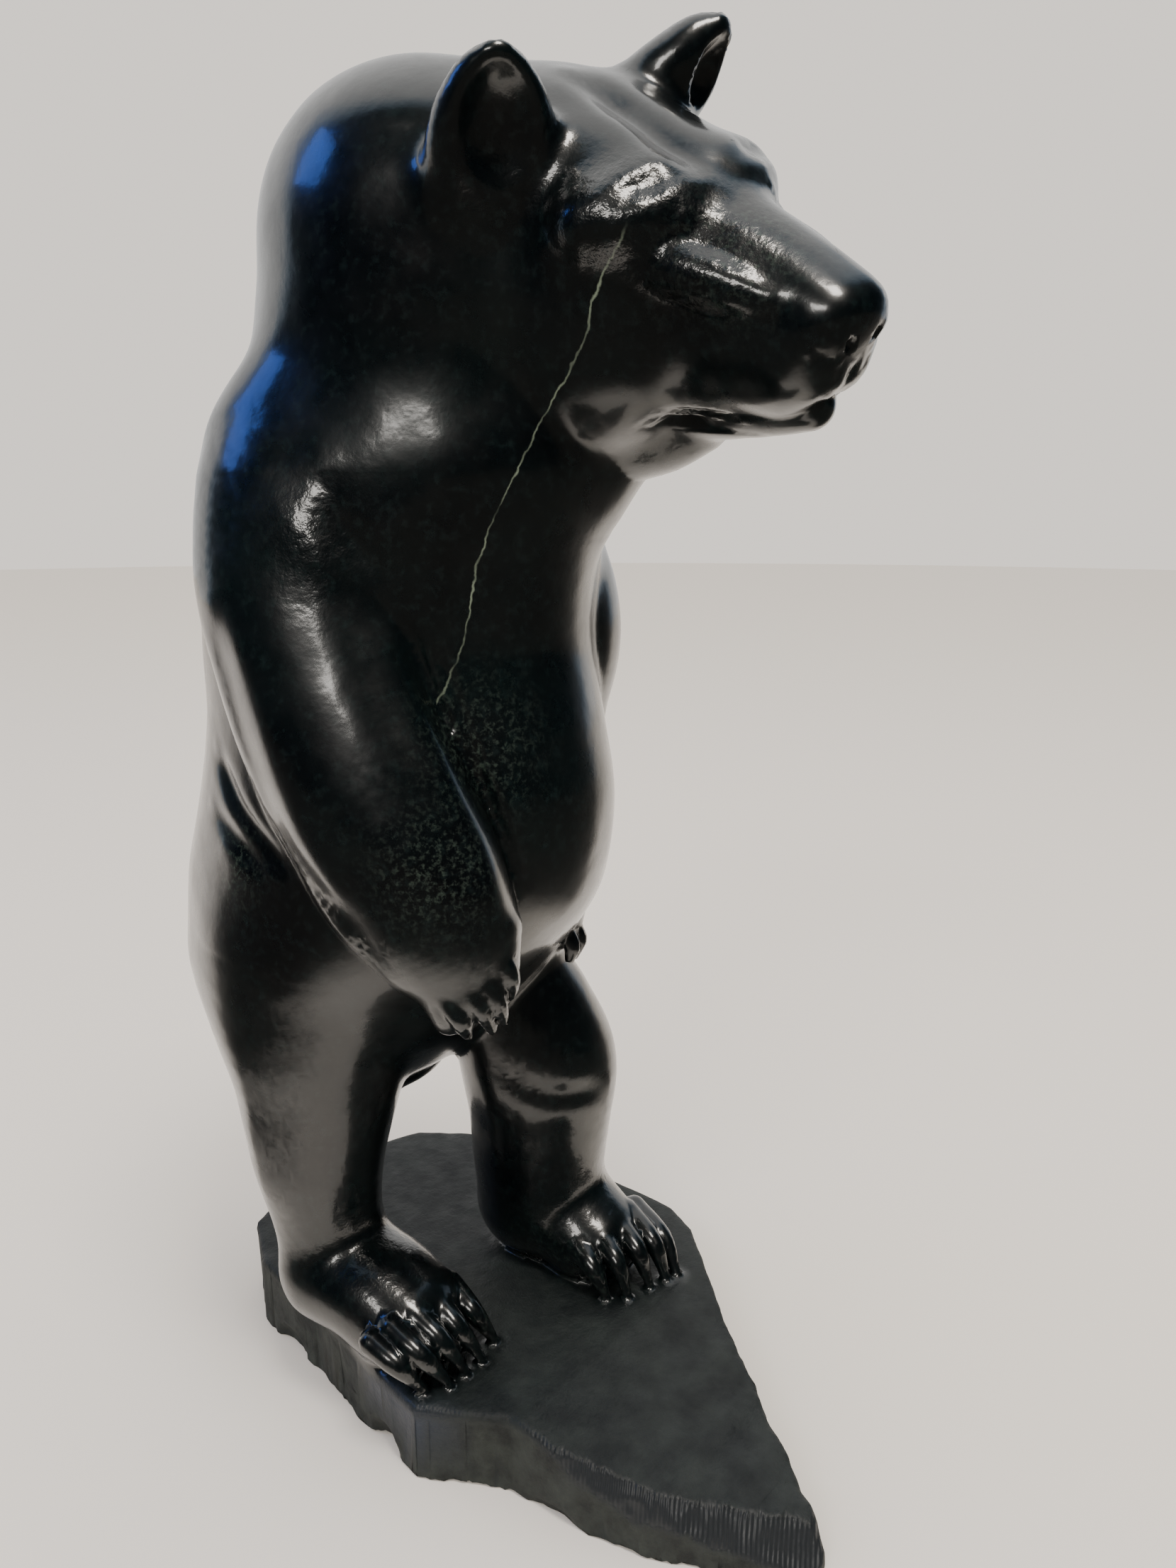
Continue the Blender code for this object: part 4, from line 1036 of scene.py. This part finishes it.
# Painted reflection: seen in the polish the floor is painted black except close to the slab and behind the
# carving
wedge = ramp(sums("DIVIDE", behind, distance_out), 0.34, 0.56, 0.04, 1.1)
mirrored_share = sums("MAXIMUM", wedge, ramp(distance_out, 0.1, 0.17, 0.9, 0.0))
mirrored = node("ShaderNodeLightPath").outputs["Is Glossy Ray"]
pale_share = blend_value(mirrored, 1.0, mirrored_share)
tree.links.new(blend_colour(pale_share, PAINTED_DARK_REFLECTION, PALE_PAINT), paint.inputs["Base Color"])
disc.materials.append(pale)


# The light: a warm lamp high in front, a soft lamp at the bear's right side, a cool one behind its right
# shoulder, and a pale room that is bright behind the carving and overhead and dim elsewhere.

# The height at which the lamps point
AIM = (0, 0, 0.15)


def lamp(name, azimuth, elevation, distance, size, power, colour):
    """A soft lamp, of a width and a height, that points at the carving's middle."""
    light = bpy.data.lights.new(name, "AREA")
    light.shape, light.energy, light.color = "RECTANGLE", power, colour
    light.size, light.size_y = size
    made = bpy.data.objects.new(name, light)
    a, e = math.radians(azimuth), math.radians(elevation)
    way = np.array((math.sin(a) * math.cos(e), -math.cos(a) * math.cos(e), math.sin(e)))
    made.location = way * distance + AIM
    made.rotation_euler = Vector(way).to_track_quat("Z", "Y").to_euler()
    made.visible_camera = False
    bpy.context.collection.objects.link(made)


lamp("key_lamp", -20, 66, 1.4, (0.36, 0.36), 11, (1.0, 0.93, 0.84))
lamp("cool_lamp", -142, 36, 1.7, (0.5, 0.5), 2.6, (0.1, 0.26, 1.0))
lamp("side_lamp", -72, 33, 2.4, (0.9, 0.4), 14, (1.0, 0.96, 0.9))

room = bpy.data.worlds.new("room")
bpy.context.scene.world = room
room.use_nodes = True
tree = room.node_tree
glow = tree.nodes["Background"]
way = node("ShaderNodeTexCoord").outputs["Generated"]


def towards(way_out, low, high):
    """How far the room is lit in one direction, fading out round it."""
    along = node("ShaderNodeVectorMath", {0: way, 1: way_out}, operation="DOT_PRODUCT").outputs["Value"]
    return ramp(along, low, high)


# The room's own colours in the polish and to the eye, how dim its dark side is, and how bright it is to the
# eye and as light on the floor
DIM_BLUE, BRIGHT_WHITE, PALE_WALL = (0.4, 0.8, 1.25), (1, 0.99, 0.97), (0.84, 0.78, 0.71)
DARK_SIDE, SEEN, SHED = 0.009, 1.42, 1.6

wall = sums("MAXIMUM", towards(BEHIND, 0.34, 0.54), towards((0.3, 0.42, 0.86), 0.7, 0.88))
level = ramp(wall, 0, 1, DARK_SIDE, 1.0)
rays = node("ShaderNodeLightPath").outputs
even = sums("ADD", rays["Is Camera Ray"], rays["Is Diffuse Ray"], True)
tone = blend_colour(even, blend_colour(wall, DIM_BLUE, BRIGHT_WHITE), PALE_WALL)
strength = blend_value(rays["Is Camera Ray"], level, SEEN)
strength = blend_value(rays["Is Diffuse Ray"], strength, SHED)
tree.links.new(tone, glow.inputs["Color"])
tree.links.new(strength, glow.inputs["Strength"])


# The camera stands where the photograph was taken from: ahead of the bear's right side and a little above
# its middle, looking slightly down.

# The lens in pixels of a picture 2212 high, the way the camera looks, and where it stands
FOCAL_PIXELS, LONG_SIDE = 1661.0, 2212.0
SENSOR = 36
PITCH, AZIMUTH = math.radians(13.4), math.radians(50.0)
STAND = np.array((-61.3, -69.45, 66.0))

right = np.array((math.cos(AZIMUTH), -math.sin(AZIMUTH), 0))
up = np.array((math.sin(AZIMUTH) * math.sin(PITCH), math.cos(AZIMUTH) * math.sin(PITCH), math.cos(PITCH)))
lens = bpy.data.cameras.new("camera")
lens.sensor_width = SENSOR
lens.lens = SENSOR * FOCAL_PIXELS / LONG_SIDE
camera = bpy.data.objects.new("camera", lens)
turn = Matrix(np.array([right, up, np.cross(right, up)]).T.tolist()).to_4x4()
camera.matrix_world = Matrix.Translation(Vector((STAND - ORIGIN) * UNIT)) @ turn
bpy.context.collection.objects.link(camera)
bpy.context.scene.camera = camera
